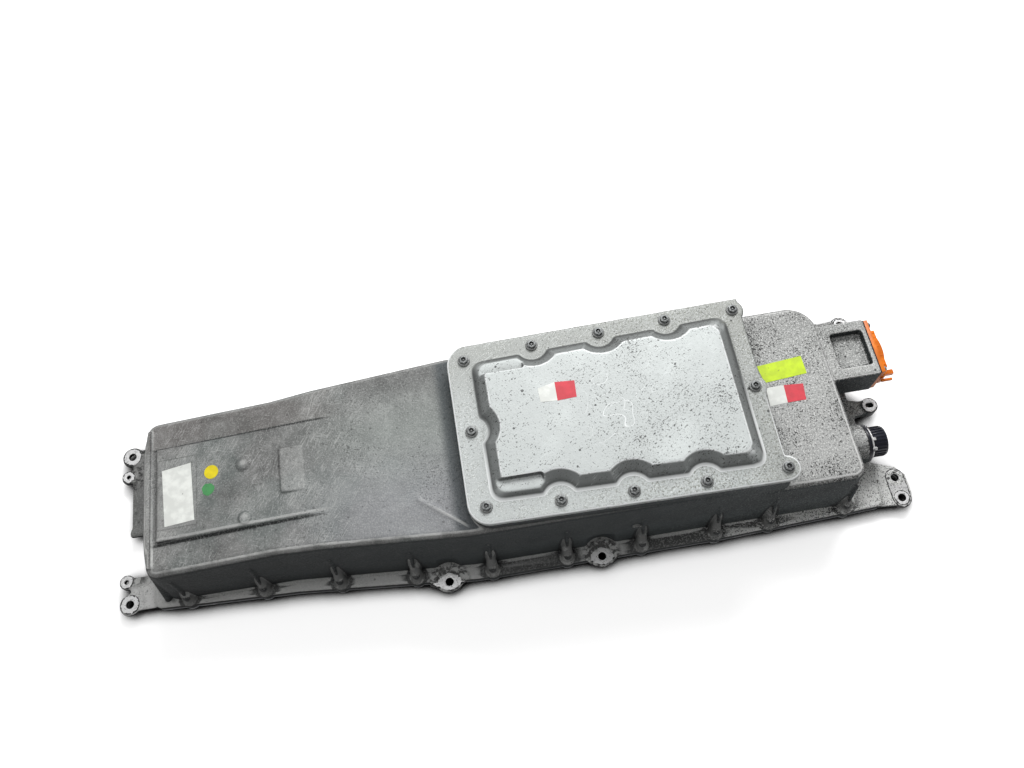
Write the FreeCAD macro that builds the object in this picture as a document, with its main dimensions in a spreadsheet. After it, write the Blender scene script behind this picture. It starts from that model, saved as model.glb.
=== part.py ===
import FreeCAD, Part
import math
import os
import Sketcher
from FreeCAD import Vector, Rotation, Placement

# Hybrid vehicle traction battery: a die-cast upper housing with a bolted service cover, closed below by a
# pressed bottom plate, with one cell module and a junction area inside.
#
# Frame: X along the length towards the connectors, Y towards the far long side, Z up. The origin is at the
# middle of the underside, so the bottom plate's pan stands on Z = 0.

SIZES = {
    # plan of the housing, measured where its walls meet the flange
    "body_left": -372.0,
    "body_taper_start": -235.0,
    "body_taper_end": -49.0,
    "body_right": 356.0,
    "body_half_left": 87.0,
    "body_half_taper": 88.0,
    "body_half_middle": 102.6,
    "body_half_right": 104.8,
    "corner_left_radius": 14.0,
    "corner_front_radius": 14.0,
    "corner_back_radius": 30.0,
    "draft_angle": 3.5,
    "wall": 4.0,
    # heights above the flange's upper face
    "left_roof_height": 92.5,
    "left_end_height": 74.5,
    "panel_rise": 5.0,
    "roof_step": 240.0,
    "shoulder_height": 78.0,
    "pedestal_height": 110.0,
    "pedestal_roof": 5.0,
    "roof_edge_radius": 8.0,
    "wedge_start": -190.0,
    "panel_inset": 19.0,
    "panel_half": 49.0,
    "bead_inset": 11.0,
    "bead_radius": 3.2,
    "bead_half": 73.0,
    "eject_radius": 6.6,
    "eject_rise": 1.2,
    "eject_first": -263.0,
    "eject_near": -41.0,
    "eject_far": 15.5,
    "patch_left": -226.0,
    "patch_length": 24.0,
    "patch_near": -22.0,
    "patch_far": 24.5,
    "patch_rise": 0.6,
    # flange
    "flange_thickness": 8.0,
    "rim_left_end": 13.0,
    "rim_right_end": 33.0,
    "rim_left": 5.5,
    "rim_taper": 11.5,
    "rim_middle": 14.9,
    "rim_right": 7.2,
    "flange_middle_right": 215.0,
    "flange_corner_radius": 8.0,
    # screw pads along the flange, with their ribs
    "pad_pitch": 79.0,
    "pad_first": -348.5,
    "pad_late_first": 263.2,
    "pad_late_pitch": 82.9,
    "pad_radius": 9.0,
    "pad_inset": 7.0,
    "end_pad_inset": 7.5,
    "left_end_pad": 30.0,
    "right_pad_inset": 23.0,
    "right_end_pad": 74.0,
    "hump_foot_radius": 6.5,
    "hump_top_radius": 4.4,
    "hump_height": 13.0,
    "rib_thickness": 3.0,
    "rib_height": 56.0,
    "wall_boss_line": 118.0,
    "wall_boss_height": 41.0,
    "wall_boss_radius": 4.0,
    # mounting ears
    "ear_thickness": 5.0,
    "ear_face_rise": 0.6,
    "ear_bolt_diameter": 8.6,
    "ear_ring_radius": 10.5,
    "ear_small_diameter": 5.0,
    "ear_small_radius": 7.8,
    "left_ear_reach": 27.0,
    "left_ear_inset": 4.0,
    "left_small_ear_reach": 30.5,
    "left_ear_spacing": 24.0,
    "middle_ear_first": -79.0,
    "middle_ear_second": 83.0,
    "middle_ear_inset": 2.5,
    "middle_ear_clearance": 2.5,
    "ear_pocket_radius": 20.0,
    "ear_pocket_height": 24.0,
    "right_ear_reach": 22.0,
    "right_ear_inset": 5.5,
    "right_ear_spacing": 23.0,
    "right_ear_radius": 8.6,
    "axis_ear_reach": 19.5,
    "axis_ear_radius": 9.0,
    "axis_ear_height": 13.0,
    "axis_ear_slot_width": 5.6,
    "axis_ear_slot_length": 9.2,
    "right_ear_edge": 12.5,
    "tongue_front": -7.0,
    "tongue_back": 53.0,
    "tongue_length": 38.5,
    # service cover and the rim below it
    "cover_left": -46.0,
    "cover_right": 263.0,
    "cover_screw_pitch": 70.0,
    "cover_screw_middle": 113.0,
    "cover_screw_inset": 9.1,
    "cover_row_splay": 0.0156,
    "cover_corner_inset": 3.2,
    "cover_left_column": -31.0,
    "cover_right_column": 254.5,
    "cover_front_corner_shift": 8.0,
    "cover_inset_left": 7.1,
    "cover_inset_right": 3.3,
    "cover_ear_radius": 12.5,
    "cover_sheet": 2.0,
    "cover_lip": 4.0,
    "cover_corner_radius": 22.0,
    "cover_fit": 0.8,
    "emboss_height": 11.0,
    "emboss_angle": 50.0,
    "emboss_left": -22.0,
    "emboss_right": 245.0,
    "emboss_inset_left": 20.5,
    "emboss_inset_right": 18.5,
    "emboss_corner_radius": 18.0,
    "scallop_radius": 16.0,
    "shelf_drop": 5.0,
    "shelf_right": 30.0,
    "shelf_half": 56.0,
    "gasket_thickness": 1.0,
    "opening_left": -20.0,
    "opening_right": 243.0,
    "opening_inset": 26.5,
    "opening_radius": 14.0,
    "cover_boss_radius": 6.8,
    "cover_boss_height": 18.0,
    # fasteners
    "cover_screw_diameter": 6.0,
    "cover_screw_head": 12.6,
    "cover_screw_head_height": 4.6,
    "cover_screw_length": 16.0,
    "screw_clearance": 0.3,
    "thread_fit": 0.05,
    "moulding_fit": 0.05,
    "hexagon_share": 0.8,
    "washer_share": 0.35,
    "bottom_screw_diameter": 6.0,
    "bottom_screw_head": 10.0,
    "bottom_screw_head_height": 3.4,
    "bottom_screw_length": 16.0,
    # bottom plate
    "plate_sheet": 2.5,
    "plate_drop": 4.0,
    "pan_margin": 5.0,
    "pan_slope": 45.0,
    "pan_corner_radius": 6.0,
    "bottom_gasket_thickness": 1.0,
    "bottom_gasket_margin": 1.5,
    # connector neck
    "neck_middle": 40.0,
    "neck_width": 66.0,
    "neck_reach": 45.0,
    "neck_top": 75.0,
    "neck_height": 42.0,
    "neck_wall": 4.0,
    "neck_pocket_inset": 5.0,
    "neck_pocket_margin": 5.0,
    "neck_pocket_half": 20.5,
    "neck_pocket_depth": 9.0,
    "neck_edge_radius": 3.0,
    "duct_half": 21.0,
    "duct_floor": 7.0,
    # high-voltage header
    "header_flange": 4.0,
    "header_width": 62.0,
    "header_height": 40.0,
    "header_shroud_width": 44.0,
    "header_shroud_height": 27.0,
    "header_shroud_length": 8.0,
    "header_wall": 2.6,
    "header_plug_length": 16.0,
    "header_seal": 1.0,
    "header_plug_clearance": 1.0,
    "header_tab_reach": 20.0,
    "header_tab_offset": 12.0,
    "header_tab": 5.0,
    "terminal_pitch": 22.0,
    "terminal_diameter": 8.0,
    "terminal_reach": 5.0,
    "terminal_lug": 20.0,
    "header_screw_diameter": 4.0,
    "header_screw_head": 7.0,
    "header_screw_inset": 4.5,
    "header_screw_length": 10.0,
    # round signal connector
    "signal_offset": -48.0,
    "signal_height": 22.0,
    "signal_boss_radius": 21.5,
    "signal_boss_reach": 21.0,
    "signal_flange": 3.0,
    "signal_flange_radius": 20.5,
    "signal_bore_radius": 12.5,
    "signal_screw_offset": 13.0,
    "signal_screw_diameter": 3.0,
    "signal_screw_head": 5.4,
    "signal_screw_length": 9.0,
    "signal_shell_radius": 15.5,
    "signal_shell_length": 19.0,
    "signal_wall": 2.5,
    "signal_depth": 16.0,
    "signal_insert": 4.0,
    "signal_pin_count": 8,
    "signal_pin_circle": 7.5,
    "signal_pin_radius": 0.9,
    "signal_pin_length": 8.0,
    # cell module
    "cell_count": 18,
    "cell_width": 120.0,
    "cell_height": 85.0,
    "cell_thickness": 15.8,
    "cell_gap": 0.4,
    "cell_terminal": 4.0,
    "cell_terminal_offset": 38.0,
    "cell_terminal_half": 6.0,
    "module_inset": 110.0,
    "pad_sheet": 2.0,
    "end_plate": 9.0,
    "band": 1.5,
    "carrier_sheet": 3.0,
    "carrier_half": 50.0,
    "carrier_wing": 76.0,
    "window_half": 8.0,
    "monitor_half": 15.0,
    "monitor_inset": 22.0,
    "monitor_right": 20.0,
    "link_sheet": 2.0,
    "busbar_sheet": 3.0,
    "busbar_width": 16.0,
    "return_near": 62.0,
    "return_width": 12.0,
    "return_riser": 60.0,
    "module_riser": 46.0,
    # junction area
    "tray_left": 52.0,
    "tray_margin": 18.0,
    "tray_half": 84.0,
    "tray_sheet": 4.0,
    "contactor_line": 262.0,
    "contactor_length": 50.0,
    "contactor_width": 44.0,
    "contactor_height": 60.0,
    "contactor_stud_pitch": 26.0,
    "contactor_stud": 11.0,
    "power_line": 48.0,
    "return_line": -34.0,
    "return_jog": 309.0,
    "stud_diameter": 6.0,
    "nut_height": 5.0,
    "nut_radius": 5.6,
    "contactor_riser": 228.0,
    "fuse_left": 140.0,
    "fuse_length": 60.0,
    "fuse_radius": 15.0,
    "fuse_lug": 22.0,
    "fuse_seat": 36.5,
    "fuse_post_radius": 8.0,
    "sensor_left": 130.0,
    "sensor_length": 26.0,
    "sensor_height": 40.0,
    "sensor_half": 24.0,
    "sensor_slot_clearance": 0.6,
    "resistor_left": 165.0,
    "resistor_length": 60.0,
    "resistor_width": 22.0,
    "relay_left": 96.0,
    "relay_length": 30.0,
    "relay_width": 26.0,
    "relay_height": 28.0,
    "precharge_line": -66.0,
    "bracket_left": 95.0,
    "bracket_right": 225.0,
    "bracket_half": 83.0,
    "bracket_sheet": 2.0,
    "bracket_top": 86.0,
    "standoff": 6.0,
    "standoff_radius": 3.5,
    "board_sheet": 1.6,
    "board_half": 68.0,
    "board_margin": 5.0,
}

doc = FreeCAD.newDocument("hybrid_battery")
sheet = doc.addObject("Spreadsheet::Sheet", "Sizes")
for row, (alias, number) in enumerate(SIZES.items(), start=1):
    sheet.set("A%d" % row, alias)
    sheet.set("B%d" % row, str(number))
    sheet.setAlias("B%d" % row, alias)
doc.recompute()


class Size:
    """A number together with the sheet expression that gives it."""

    def __init__(self, text, value):
        self.text = text
        self.value = float(value)

    def __add__(self, other):
        other = as_size(other)
        return Size("(%s + %s)" % (self.text, other.text), self.value + other.value)

    def __radd__(self, other):
        return as_size(other) + self

    def __sub__(self, other):
        other = as_size(other)
        return Size("(%s - %s)" % (self.text, other.text), self.value - other.value)

    def __rsub__(self, other):
        return as_size(other) - self

    def __mul__(self, other):
        other = as_size(other)
        return Size("(%s * %s)" % (self.text, other.text), self.value * other.value)

    def __rmul__(self, other):
        return as_size(other) * self

    def __truediv__(self, other):
        other = as_size(other)
        return Size("(%s / %s)" % (self.text, other.text), self.value / other.value)

    def __neg__(self):
        return Size("(0 - %s)" % self.text, -self.value)


def as_size(number):
    return number if isinstance(number, Size) else Size("(%r)" % float(number), number)


def tangent(angle):
    return Size("tan(%s)" % angle.text, math.tan(math.radians(angle.value)))


class Sheet:
    """Gives each alias of the sheet as a Size."""

    def __getattr__(self, alias):
        return Size("Sizes.%s" % alias, getattr(sheet, alias))


s = Sheet()


def bind(item, field, size):
    item.setExpression(field, as_size(size).text)


def place(item, x, y, z, rotation=Rotation()):
    spot = Vector(as_size(x).value, as_size(y).value, as_size(z).value)
    item.Placement = Placement(spot, rotation)
    for field, size in (("x", x), ("y", y), ("z", z)):
        bind(item, "Placement.Base.%s" % field, size)


# Part primitives and booleans

def block(name, x, y, z):
    """A box between the two ends given for each axis."""
    item = doc.addObject("Part::Box", name)
    for field, ends in (("Length", x), ("Width", y), ("Height", z)):
        bind(item, field, as_size(ends[1]) - ends[0])
    place(item, x[0], y[0], z[0])
    return item


ALONG_X = Rotation(Vector(0, 1, 0), 90)
ALONG_Y = Rotation(Vector(1, 0, 0), -90)
ALONG_Z = Rotation()


def rod(name, radius, length, x, y, z, rotation=ALONG_Z):
    item = doc.addObject("Part::Cylinder", name)
    bind(item, "Radius", radius)
    bind(item, "Height", length)
    place(item, x, y, z, rotation)
    return item


def cone(name, foot, top, length, x, y, z, rotation=ALONG_Z):
    item = doc.addObject("Part::Cone", name)
    bind(item, "Radius1", foot)
    bind(item, "Radius2", top)
    bind(item, "Height", length)
    place(item, x, y, z, rotation)
    return item


def hexagon(name, radius, length, x, y, z, rotation=ALONG_Z):
    item = doc.addObject("Part::Prism", name)
    item.Polygon = 6
    bind(item, "Circumradius", radius)
    bind(item, "Height", length)
    place(item, x, y, z, rotation)
    return item


def fuse(name, items):
    """Joins the items into one; a single item is given back as it is."""
    if len(items) == 1:
        return items[0]
    item = doc.addObject("Part::MultiFuse", name)
    item.Shapes = items
    item.Refine = True
    return item


def cut(name, base, tool):
    item = doc.addObject("Part::Cut", name)
    item.Base = base
    item.Tool = tool
    item.Refine = True
    return item


# Bodies made of sketches and features


def body_named(name):
    return doc.addObject("PartDesign::Body", name)


def sketch_on(body, name, role, offset=None):
    sketch = body.newObject("Sketcher::SketchObject", name)
    plane = [item for item in body.Origin.OriginFeatures if item.Role == role][0]
    sketch.AttachmentSupport = (plane, [""])
    sketch.MapMode = "FlatFace"
    if offset is not None:
        bind(sketch, "AttachmentOffset.Base.z", offset)
    return sketch


def pin_point(sketch, geometry, end, x, y):
    """Ties one point of the sketch to its two sizes."""
    for kind, size in (("DistanceX", as_size(x)), ("DistanceY", as_size(y))):
        number = sketch.addConstraint(Sketcher.Constraint(kind, -1, 1, geometry, end, size.value))
        sketch.setExpression("Constraints[%d]" % number, size.text)


def polygon(sketch, points):
    """A closed outline with straight edges through the given points."""
    first = sketch.GeometryCount
    count = len(points)
    spots = [Vector(as_size(x).value, as_size(y).value, 0) for x, y in points]
    for index in range(count):
        sketch.addGeometry(Part.LineSegment(spots[index], spots[(index + 1) % count]), False)
    for index in range(count):
        after = first + (index + 1) % count
        sketch.addConstraint(Sketcher.Constraint("Coincident", first + index, 2, after, 1))
    for index, (x, y) in enumerate(points):
        pin_point(sketch, first + index, 1, x, y)


def circle(sketch, x, y, radius):
    radius = as_size(radius)
    centre = Vector(as_size(x).value, as_size(y).value, 0)
    index = sketch.addGeometry(Part.Circle(centre, Vector(0, 0, 1), radius.value), False)
    pin_point(sketch, index, 3, x, y)
    number = sketch.addConstraint(Sketcher.Constraint("Radius", index, radius.value))
    sketch.setExpression("Constraints[%d]" % number, radius.text)


def pad(body, name, sketch, length, taper=None, reverse=False):
    item = body.newObject("PartDesign::Pad", name)
    item.Profile = sketch
    item.Reversed = reverse
    bind(item, "Length", length)
    if taper is not None:
        bind(item, "TaperAngle", taper)
    return item


def pocket(body, name, sketch, length, reverse=False, both=False):
    item = body.newObject("PartDesign::Pocket", name)
    item.Profile = sketch
    item.Reversed = reverse
    if both:
        item.SideType = "Symmetric"
    bind(item, "Length", length)
    return item


def edges_where(shape, test):
    """Names of the edges whose two ends and middle pass the test."""
    names = []
    for index, edge in enumerate(shape.Edges, start=1):
        if edge.Length < 0.01 or len(edge.Vertexes) < 2:
            continue
        ends = [vertex.Point for vertex in edge.Vertexes]
        if test(ends[0], ends[-1], edge):
            names.append("Edge%d" % index)
    return names


def fillet(body, name, base, radius, test):
    doc.recompute()
    item = body.newObject("PartDesign::Fillet", name)
    item.Base = (base, edges_where(base.Shape, test))
    bind(item, "Radius", radius)
    return item


def mirror_points(half):
    """Closes an outline given by its points on the far side with their mirror images."""
    return half + [(x, -as_size(y)) for x, y in reversed(half)]


# Places in plan that follow the housing's outline

flange_left = s.body_left - s.rim_left_end
flange_right = s.body_right + s.rim_right_end
flange_half_left = s.body_half_left + s.rim_left
flange_half_taper = s.body_half_taper + s.rim_taper
flange_half_middle = s.body_half_middle + s.rim_middle
flange_half_right = s.body_half_right + s.rim_right
left_ear_line = flange_left - s.left_ear_reach
left_small_ear_line = flange_left - s.left_small_ear_reach
left_ear_offset = s.body_half_left - s.left_ear_inset
left_small_ear_offset = left_ear_offset - s.left_ear_spacing
middle_ear_offset = flange_half_middle - s.middle_ear_inset
right_ear_line = flange_right + s.right_ear_reach
right_ear_outer = flange_half_right - s.right_ear_inset
right_ear_inner = right_ear_outer - s.right_ear_spacing
axis_ear_line = flange_right + s.axis_ear_reach
ear_edge_right = right_ear_line + s.right_ear_edge
bead_line = s.body_left + s.bead_inset
panel_left = s.body_left + s.panel_inset
cover_half_left = s.body_half_middle - s.cover_inset_left
cover_half_right = s.body_half_right - s.cover_inset_right
cover_screw_half = cover_half_left - s.cover_screw_inset
cover_row_slope = (cover_half_right - cover_half_left) / (s.cover_right - s.cover_left) + s.cover_row_splay
emboss_half_left = cover_half_left - s.emboss_inset_left
emboss_half_right = cover_half_right - s.emboss_inset_right
opening_half = cover_half_left - s.opening_inset
neck_end = s.body_right + s.neck_reach
neck_pocket_left = s.body_right + s.neck_pocket_inset
neck_pocket_right = neck_end - s.neck_pocket_margin
signal_boss_end = s.body_right + s.signal_boss_reach
module_left = s.body_left + s.module_inset
monitor_left = module_left + s.monitor_inset
tray_right = s.body_right - s.tray_margin


# Levels that many pieces share
plate_rim_bottom = s.plate_drop
gasket_bottom = plate_rim_bottom + s.plate_sheet
flange_bottom = gasket_bottom + s.bottom_gasket_thickness
flange_top = flange_bottom + s.flange_thickness
floor = s.plate_sheet
cover_seat = flange_top + s.pedestal_height
cover_bottom = cover_seat + s.gasket_thickness
cover_top = cover_bottom + s.cover_sheet



def between(x, first, second, start, end):
    """The value on the straight line from start at first to end at second."""
    return start + (x - first) * (end - start) / (second - first)


def roof_at(x):
    """Height of the sloping left roof at a place left of its flat part."""
    low = flange_top + s.left_end_height
    high = flange_top + s.left_roof_height
    return between(x, s.body_left, s.wedge_start, low, high)


def wall_at(x):
    """Half width of the housing's foot at a place."""
    if x.value < s.body_taper_start.value:
        return between(x, s.body_left, s.body_taper_start, s.body_half_left, s.body_half_taper)
    if x.value < s.body_taper_end.value:
        return between(x, s.body_taper_start, s.body_taper_end, s.body_half_taper, s.body_half_middle)
    return between(x, s.body_taper_end, s.body_right, s.body_half_middle, s.body_half_right)


def flange_edge_at(x):
    """Half width of the flange at a place."""
    if x.value < s.body_taper_start.value:
        return between(x, flange_left, s.body_taper_start, flange_half_left, flange_half_taper)
    if x.value < s.body_taper_end.value:
        return between(x, s.body_taper_start, s.body_taper_end, flange_half_taper, flange_half_middle)
    if x.value < s.flange_middle_right.value:
        return flange_half_middle
    return between(x, s.flange_middle_right, flange_right, flange_half_middle, flange_half_right)


def upright_corner(x, y):
    """A test for the upright edge nearest to a corner of an outline."""
    def test(first, last, edge):
        upright = abs(first.z - last.z) > 0.35 * edge.Length and edge.Length > 0.5
        near = abs(first.x - x) < 4 and abs(first.y - y) < 4
        return upright and (near or (abs(last.x - x) < 4 and abs(last.y - y) < 4))
    return test


def plate(name, points, bottom, thickness, corners=(), taper=None):
    """A flat piece with the given outline; corners are (point number, radius)."""
    body = body_named(name)
    outline = sketch_on(body, name + "_outline", "XY_Plane", bottom)
    polygon(outline, points)
    tip = pad(body, name + "_pad", outline, thickness, taper)
    for number, radius in corners:
        x, y = points[number]
        spot = upright_corner(as_size(x).value, as_size(y).value)
        tip = fillet(body, "%s_corner_%d" % (name, number), tip, radius, spot)
    return body


# Where the cover screws stand, anticlockwise from the left end of the near row
def cover_screw_places():
    half = cover_screw_half
    pitch = s.cover_screw_pitch
    slope = cover_row_slope
    middle = s.cover_screw_middle
    corner = half - 2 * pitch * slope - s.cover_corner_inset
    far_corner = half + 2 * pitch * slope - s.cover_corner_inset
    left = middle - 2 * pitch - 1.0
    places = [(left, -corner)]
    places += [(middle + k * pitch, -(half + k * pitch * slope)) for k in (-1, 0, 1)]
    places += [(s.cover_right_column + s.cover_front_corner_shift, -far_corner)]
    places += [(s.cover_right_column, as_size(0.0))]
    places += [(s.cover_right_column, far_corner)]
    places += [(middle + k * pitch, half + k * pitch * slope) for k in (1, 0, -1)]
    places += [(left, corner)]
    places += [(s.cover_left_column, as_size(0.0))]
    return places


cover_screws_at = cover_screw_places()
cover_ears_at = cover_screws_at[4:7]
scalloped_screws_at = cover_screws_at[1:4] + cover_screws_at[7:10] + cover_screws_at[11:]


def pad_places():
    """Places of the flange's screw pads along X, on each long side."""
    early = [s.pad_first + k * s.pad_pitch for k in range(8)]
    late = [s.pad_late_first + k * s.pad_late_pitch for k in range(2)]
    return early + late


def casting_block(name, wall, base):
    """The housing's bulk, or with a wall the hollow inside it: one drafted block cut to the roof line."""
    left = s.body_left + wall
    right = s.body_right - wall
    far = [
        (left, s.body_half_left - wall),
        (s.body_taper_start, s.body_half_taper - wall),
        (s.body_taper_end, s.body_half_middle - wall),
        (right, s.body_half_right - wall),
    ]
    corners = [
        (0, s.corner_left_radius - wall),
        (3, s.corner_back_radius - wall),
        (4, s.corner_front_radius - wall),
        (7, s.corner_left_radius - wall),
    ]
    roof_left = flange_top + s.left_roof_height - wall
    height = roof_left + 5.0 - base
    body = plate(name, mirror_points(far), base, height, corners, -s.draft_angle)

    roof_end = flange_top + s.left_end_height - wall
    shoulder = flange_top + s.shoulder_height - wall
    sky = roof_left + 20.0
    line = sketch_on(body, name + "_roof_line", "XZ_Plane")
    beyond = 20.0
    end_slope = (roof_left - roof_end) / (s.wedge_start - s.body_left)
    points = [
        (s.body_left - beyond, roof_end - beyond * end_slope),
        (s.wedge_start, roof_left),
        (s.roof_step - wall, roof_left),
        (s.roof_step - wall, shoulder),
        (s.body_right + beyond, shoulder),
        (s.body_right + beyond, sky),
        (s.body_left - beyond, sky),
    ]
    polygon(line, points)
    tip = pocket(body, name + "_roof_cut", line, 4 * s.body_half_right, both=True)

    def on_roof(first, last, edge):
        level = shoulder.value - 0.1
        rim = max(abs(first.y), abs(last.y)) > 60 and first.z > 60 and last.z > 60
        flat = abs(first.z - last.z) < 0.35 * edge.Length
        at_step = abs(first.x - last.x) < 1 and max(abs(first.y), abs(last.y)) > 60
        at_step = at_step and abs(first.x - s.roof_step.value + wall.value) < 1
        at_wedge = abs(first.x - last.x) < 0.1 and abs(first.x - s.wedge_start.value) < 1
        upper = first.z > level and last.z > level
        left_end = first.x < s.body_left.value + 12 and last.x < s.body_left.value + 12
        return (upper or left_end) and rim and flat and not at_step and not at_wedge

    fillet(body, name + "_roof_edge", tip, s.roof_edge_radius - wall, on_roof)
    return body


def cover_half_at(x):
    return between(x, s.cover_left, s.cover_right, cover_half_left, cover_half_right)


def cover_outline(inset):
    """Four corners of the cover, or of what lies inside its edge by the inset."""
    left = s.cover_left + inset
    right = s.cover_right - inset
    far = [(left, cover_half_at(left) - inset), (right, cover_half_at(right) - inset)]
    return mirror_points(far)


def cover_shape(name, inset, bottom, thickness):
    """A plate with the cover's outline: a tapered oblong with three screw ears at its right end."""
    body = body_named(name)
    outline = sketch_on(body, name + "_outline", "XY_Plane", bottom)
    points = cover_outline(inset)
    polygon(outline, points)
    tip = pad(body, name + "_pad", outline, thickness)
    ears = sketch_on(body, name + "_ears", "XY_Plane", bottom)
    for x, y in cover_ears_at:
        circle(ears, x, y, s.cover_ear_radius - inset)
    tip = pad(body, name + "_ear_pad", ears, thickness)
    for number in (0, 3):
        x, y = points[number]
        spot = upright_corner(x.value, y.value)
        radius = s.cover_corner_radius - inset
        tip = fillet(body, "%s_corner_%d" % (name, number), tip, radius, spot)
    return body


# Upper housing

NEAR_SIDE = Rotation(Vector(1, 0, 0), Vector(0, 0, 1), Vector(0, -1, 0), "ZYX")
FAR_SIDE = Rotation(Vector(-1, 0, 0), Vector(0, 0, 1), Vector(0, 1, 0), "ZYX")
SIDES = (("near", -1, NEAR_SIDE), ("far", 1, FAR_SIDE))


def flange_outline(inset):
    left = flange_left + inset
    right = flange_right - inset
    far = [
        (left, flange_half_left - inset),
        (s.body_taper_start, flange_half_taper - inset),
        (s.body_taper_end, flange_half_middle - inset),
        (s.flange_middle_right, flange_half_middle - inset),
        (right, flange_half_right - inset),
    ]
    return mirror_points(far)


def flange_shape(name, inset, bottom, thickness):
    """The flange's outline, with a scallop round each screw pad of the long sides."""
    points = flange_outline(inset)
    corners = [(number, s.flange_corner_radius - inset) for number in (0, 4, 5, 9)]
    items = [plate(name + "_field", points, bottom, thickness, corners)]
    for number, x in enumerate(pad_places()):
        for side, sign, turn in SIDES:
            y = sign * (flange_edge_at(x) - s.pad_inset)
            items.append(
                rod("%s_pad_%s_%d" % (name, side, number), s.pad_radius - inset, thickness, x, y, bottom),
            )
    return fuse(name, items)


def bottom_screw_places():
    places = []
    for x in pad_places():
        places += [(x, sign * (flange_edge_at(x) - s.pad_inset)) for side, sign, turn in SIDES]
    places += [(flange_left + s.end_pad_inset, sign * s.left_end_pad) for sign in (-1, 1)]
    places += [(flange_right - s.right_pad_inset, sign * s.right_end_pad) for sign in (-1, 1)]
    return places


def gusset(name, x, sign, turn):
    """The thin triangular web from a screw pad up the housing's wall."""
    lean = tangent(s.draft_angle) * s.rib_height
    item = doc.addObject("Part::Wedge", name)
    wall = wall_at(x)
    fields = {
        "Xmin": -s.rib_thickness / 2,
        "Xmax": s.rib_thickness / 2,
        "X2min": -s.rib_thickness / 2,
        "X2max": s.rib_thickness / 2,
        "Ymin": as_size(0.0),
        "Ymax": s.rib_height,
        "Zmin": wall - s.wall / 2,
        "Zmax": flange_edge_at(x) - s.pad_inset + s.hump_top_radius - 1.0,
        "Z2min": wall - lean - s.wall / 2,
        "Z2max": wall - lean + 0.6,
    }
    for field, size in fields.items():
        bind(item, field, size)
    place(item, x, 0, flange_top, turn)
    return item


def humps_and_gussets():
    items = []
    for number, (x, y) in enumerate(bottom_screw_places()):
        height = s.hump_height + 1.0
        items.append(
            cone("hump_%d" % number, s.hump_foot_radius, s.hump_top_radius, height, x, y, flange_top - 1.0),
        )
    for number, x in enumerate(pad_places()):
        for side, sign, turn in SIDES:
            items.append(gusset("gusset_%s_%d" % (side, number), x, sign, turn))
    return items


def bolt_ears():
    """Places and ring radii of the ears with the large bolt hole."""
    ears = [(left_ear_line, sign * left_ear_offset, s.ear_ring_radius) for sign in (-1, 1)]
    for x in (s.middle_ear_first, s.middle_ear_second):
        ears += [(x, sign * middle_ear_offset, s.ear_ring_radius) for sign in (-1, 1)]
    for y in (right_ear_outer, right_ear_inner):
        ears += [(right_ear_line, sign * y, s.right_ear_radius) for sign in (-1, 1)]
    return ears


def ear_lugs():
    """Lugs that stand out from the flange, each with a machined face round its hole."""
    items = []
    top = s.ear_thickness + s.ear_face_rise
    for number, (x, y, radius) in enumerate(bolt_ears()):
        items.append(rod("ear_%d" % number, radius + 1.0, s.ear_thickness, x, y, flange_bottom))
        items.append(rod("ear_face_%d" % number, radius, top, x, y, flange_bottom))
    ear_z = (flange_bottom, flange_bottom + s.ear_thickness)
    root = flange_left + s.flange_corner_radius
    for side, sign, turn in SIDES:
        x, y = left_small_ear_line, sign * left_small_ear_offset
        items.append(rod("small_ear_" + side, s.ear_small_radius, top + 1.0, x, y, flange_bottom))
        inner = left_small_ear_offset - s.ear_small_radius / 2
        outer = left_ear_offset + s.ear_ring_radius - 3.0
        span = (inner, outer) if sign > 0 else (-outer, -inner)
        items.append(block("left_lug_" + side, (left_ear_line, root), span, ear_z))
        for number, x in enumerate((s.middle_ear_first, s.middle_ear_second)):
            reach = middle_ear_offset + s.ear_ring_radius - 1.0
            wing = 2.2 * s.ear_ring_radius
            tip = 0.75 * s.ear_ring_radius
            root_y = flange_half_taper
            half = [
                (x - wing, sign * root_y),
                (x - wing, sign * (flange_edge_at(x) - 4.0)),
                (x - tip, sign * reach),
                (x + tip, sign * reach),
                (x + wing, sign * (flange_edge_at(x) - 4.0)),
                (x + wing, sign * root_y),
            ]
            items.append(plate("middle_lug_%s_%d" % (side, number), half, flange_bottom, s.ear_thickness))
        line = right_ear_line
        inner = right_ear_inner
        outer = right_ear_outer
        near_flange = flange_right - s.flange_corner_radius
        edge = ear_edge_right
        half = [
            (near_flange, sign * (inner - 24.0)),
            (line - 8.0, sign * (inner - 17.0)),
            (line + 4.0, sign * (inner - 12.0)),
            (edge, sign * (inner - 2.0)),
            (edge, sign * (outer - 3.0)),
            (line + 5.0, sign * (outer + s.right_ear_radius)),
            (near_flange, sign * flange_half_right),
        ]
        items.append(plate("right_lug_" + side, half, flange_bottom, s.ear_thickness))
    items += axis_ear()
    items += left_tongue()
    x = s.wall_boss_line
    z = flange_top + s.wall_boss_height
    items.append(rod("wall_boss", s.wall_boss_radius, s.wall, x, -wall_at(x), z, ALONG_Y))
    return items


def axis_ear():
    """The slotted locating ear on the axis, a taller boss on a tapering arm."""
    line = axis_ear_line
    root = s.body_right - s.wall / 2
    waist = s.axis_ear_radius - 1.0
    half = [
        (root, -2.0 * s.axis_ear_radius),
        (line - s.axis_ear_radius, -waist),
        (line, -waist),
        (line, waist),
        (line - s.axis_ear_radius, waist),
        (root, 2.2 * s.axis_ear_radius),
    ]
    arm = plate("axis_ear_arm", half, flange_bottom, s.flange_thickness + 2.0)
    boss = rod("axis_ear_boss", s.axis_ear_radius, s.axis_ear_height, line, 0.0, flange_bottom)
    return [arm, boss]


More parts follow.
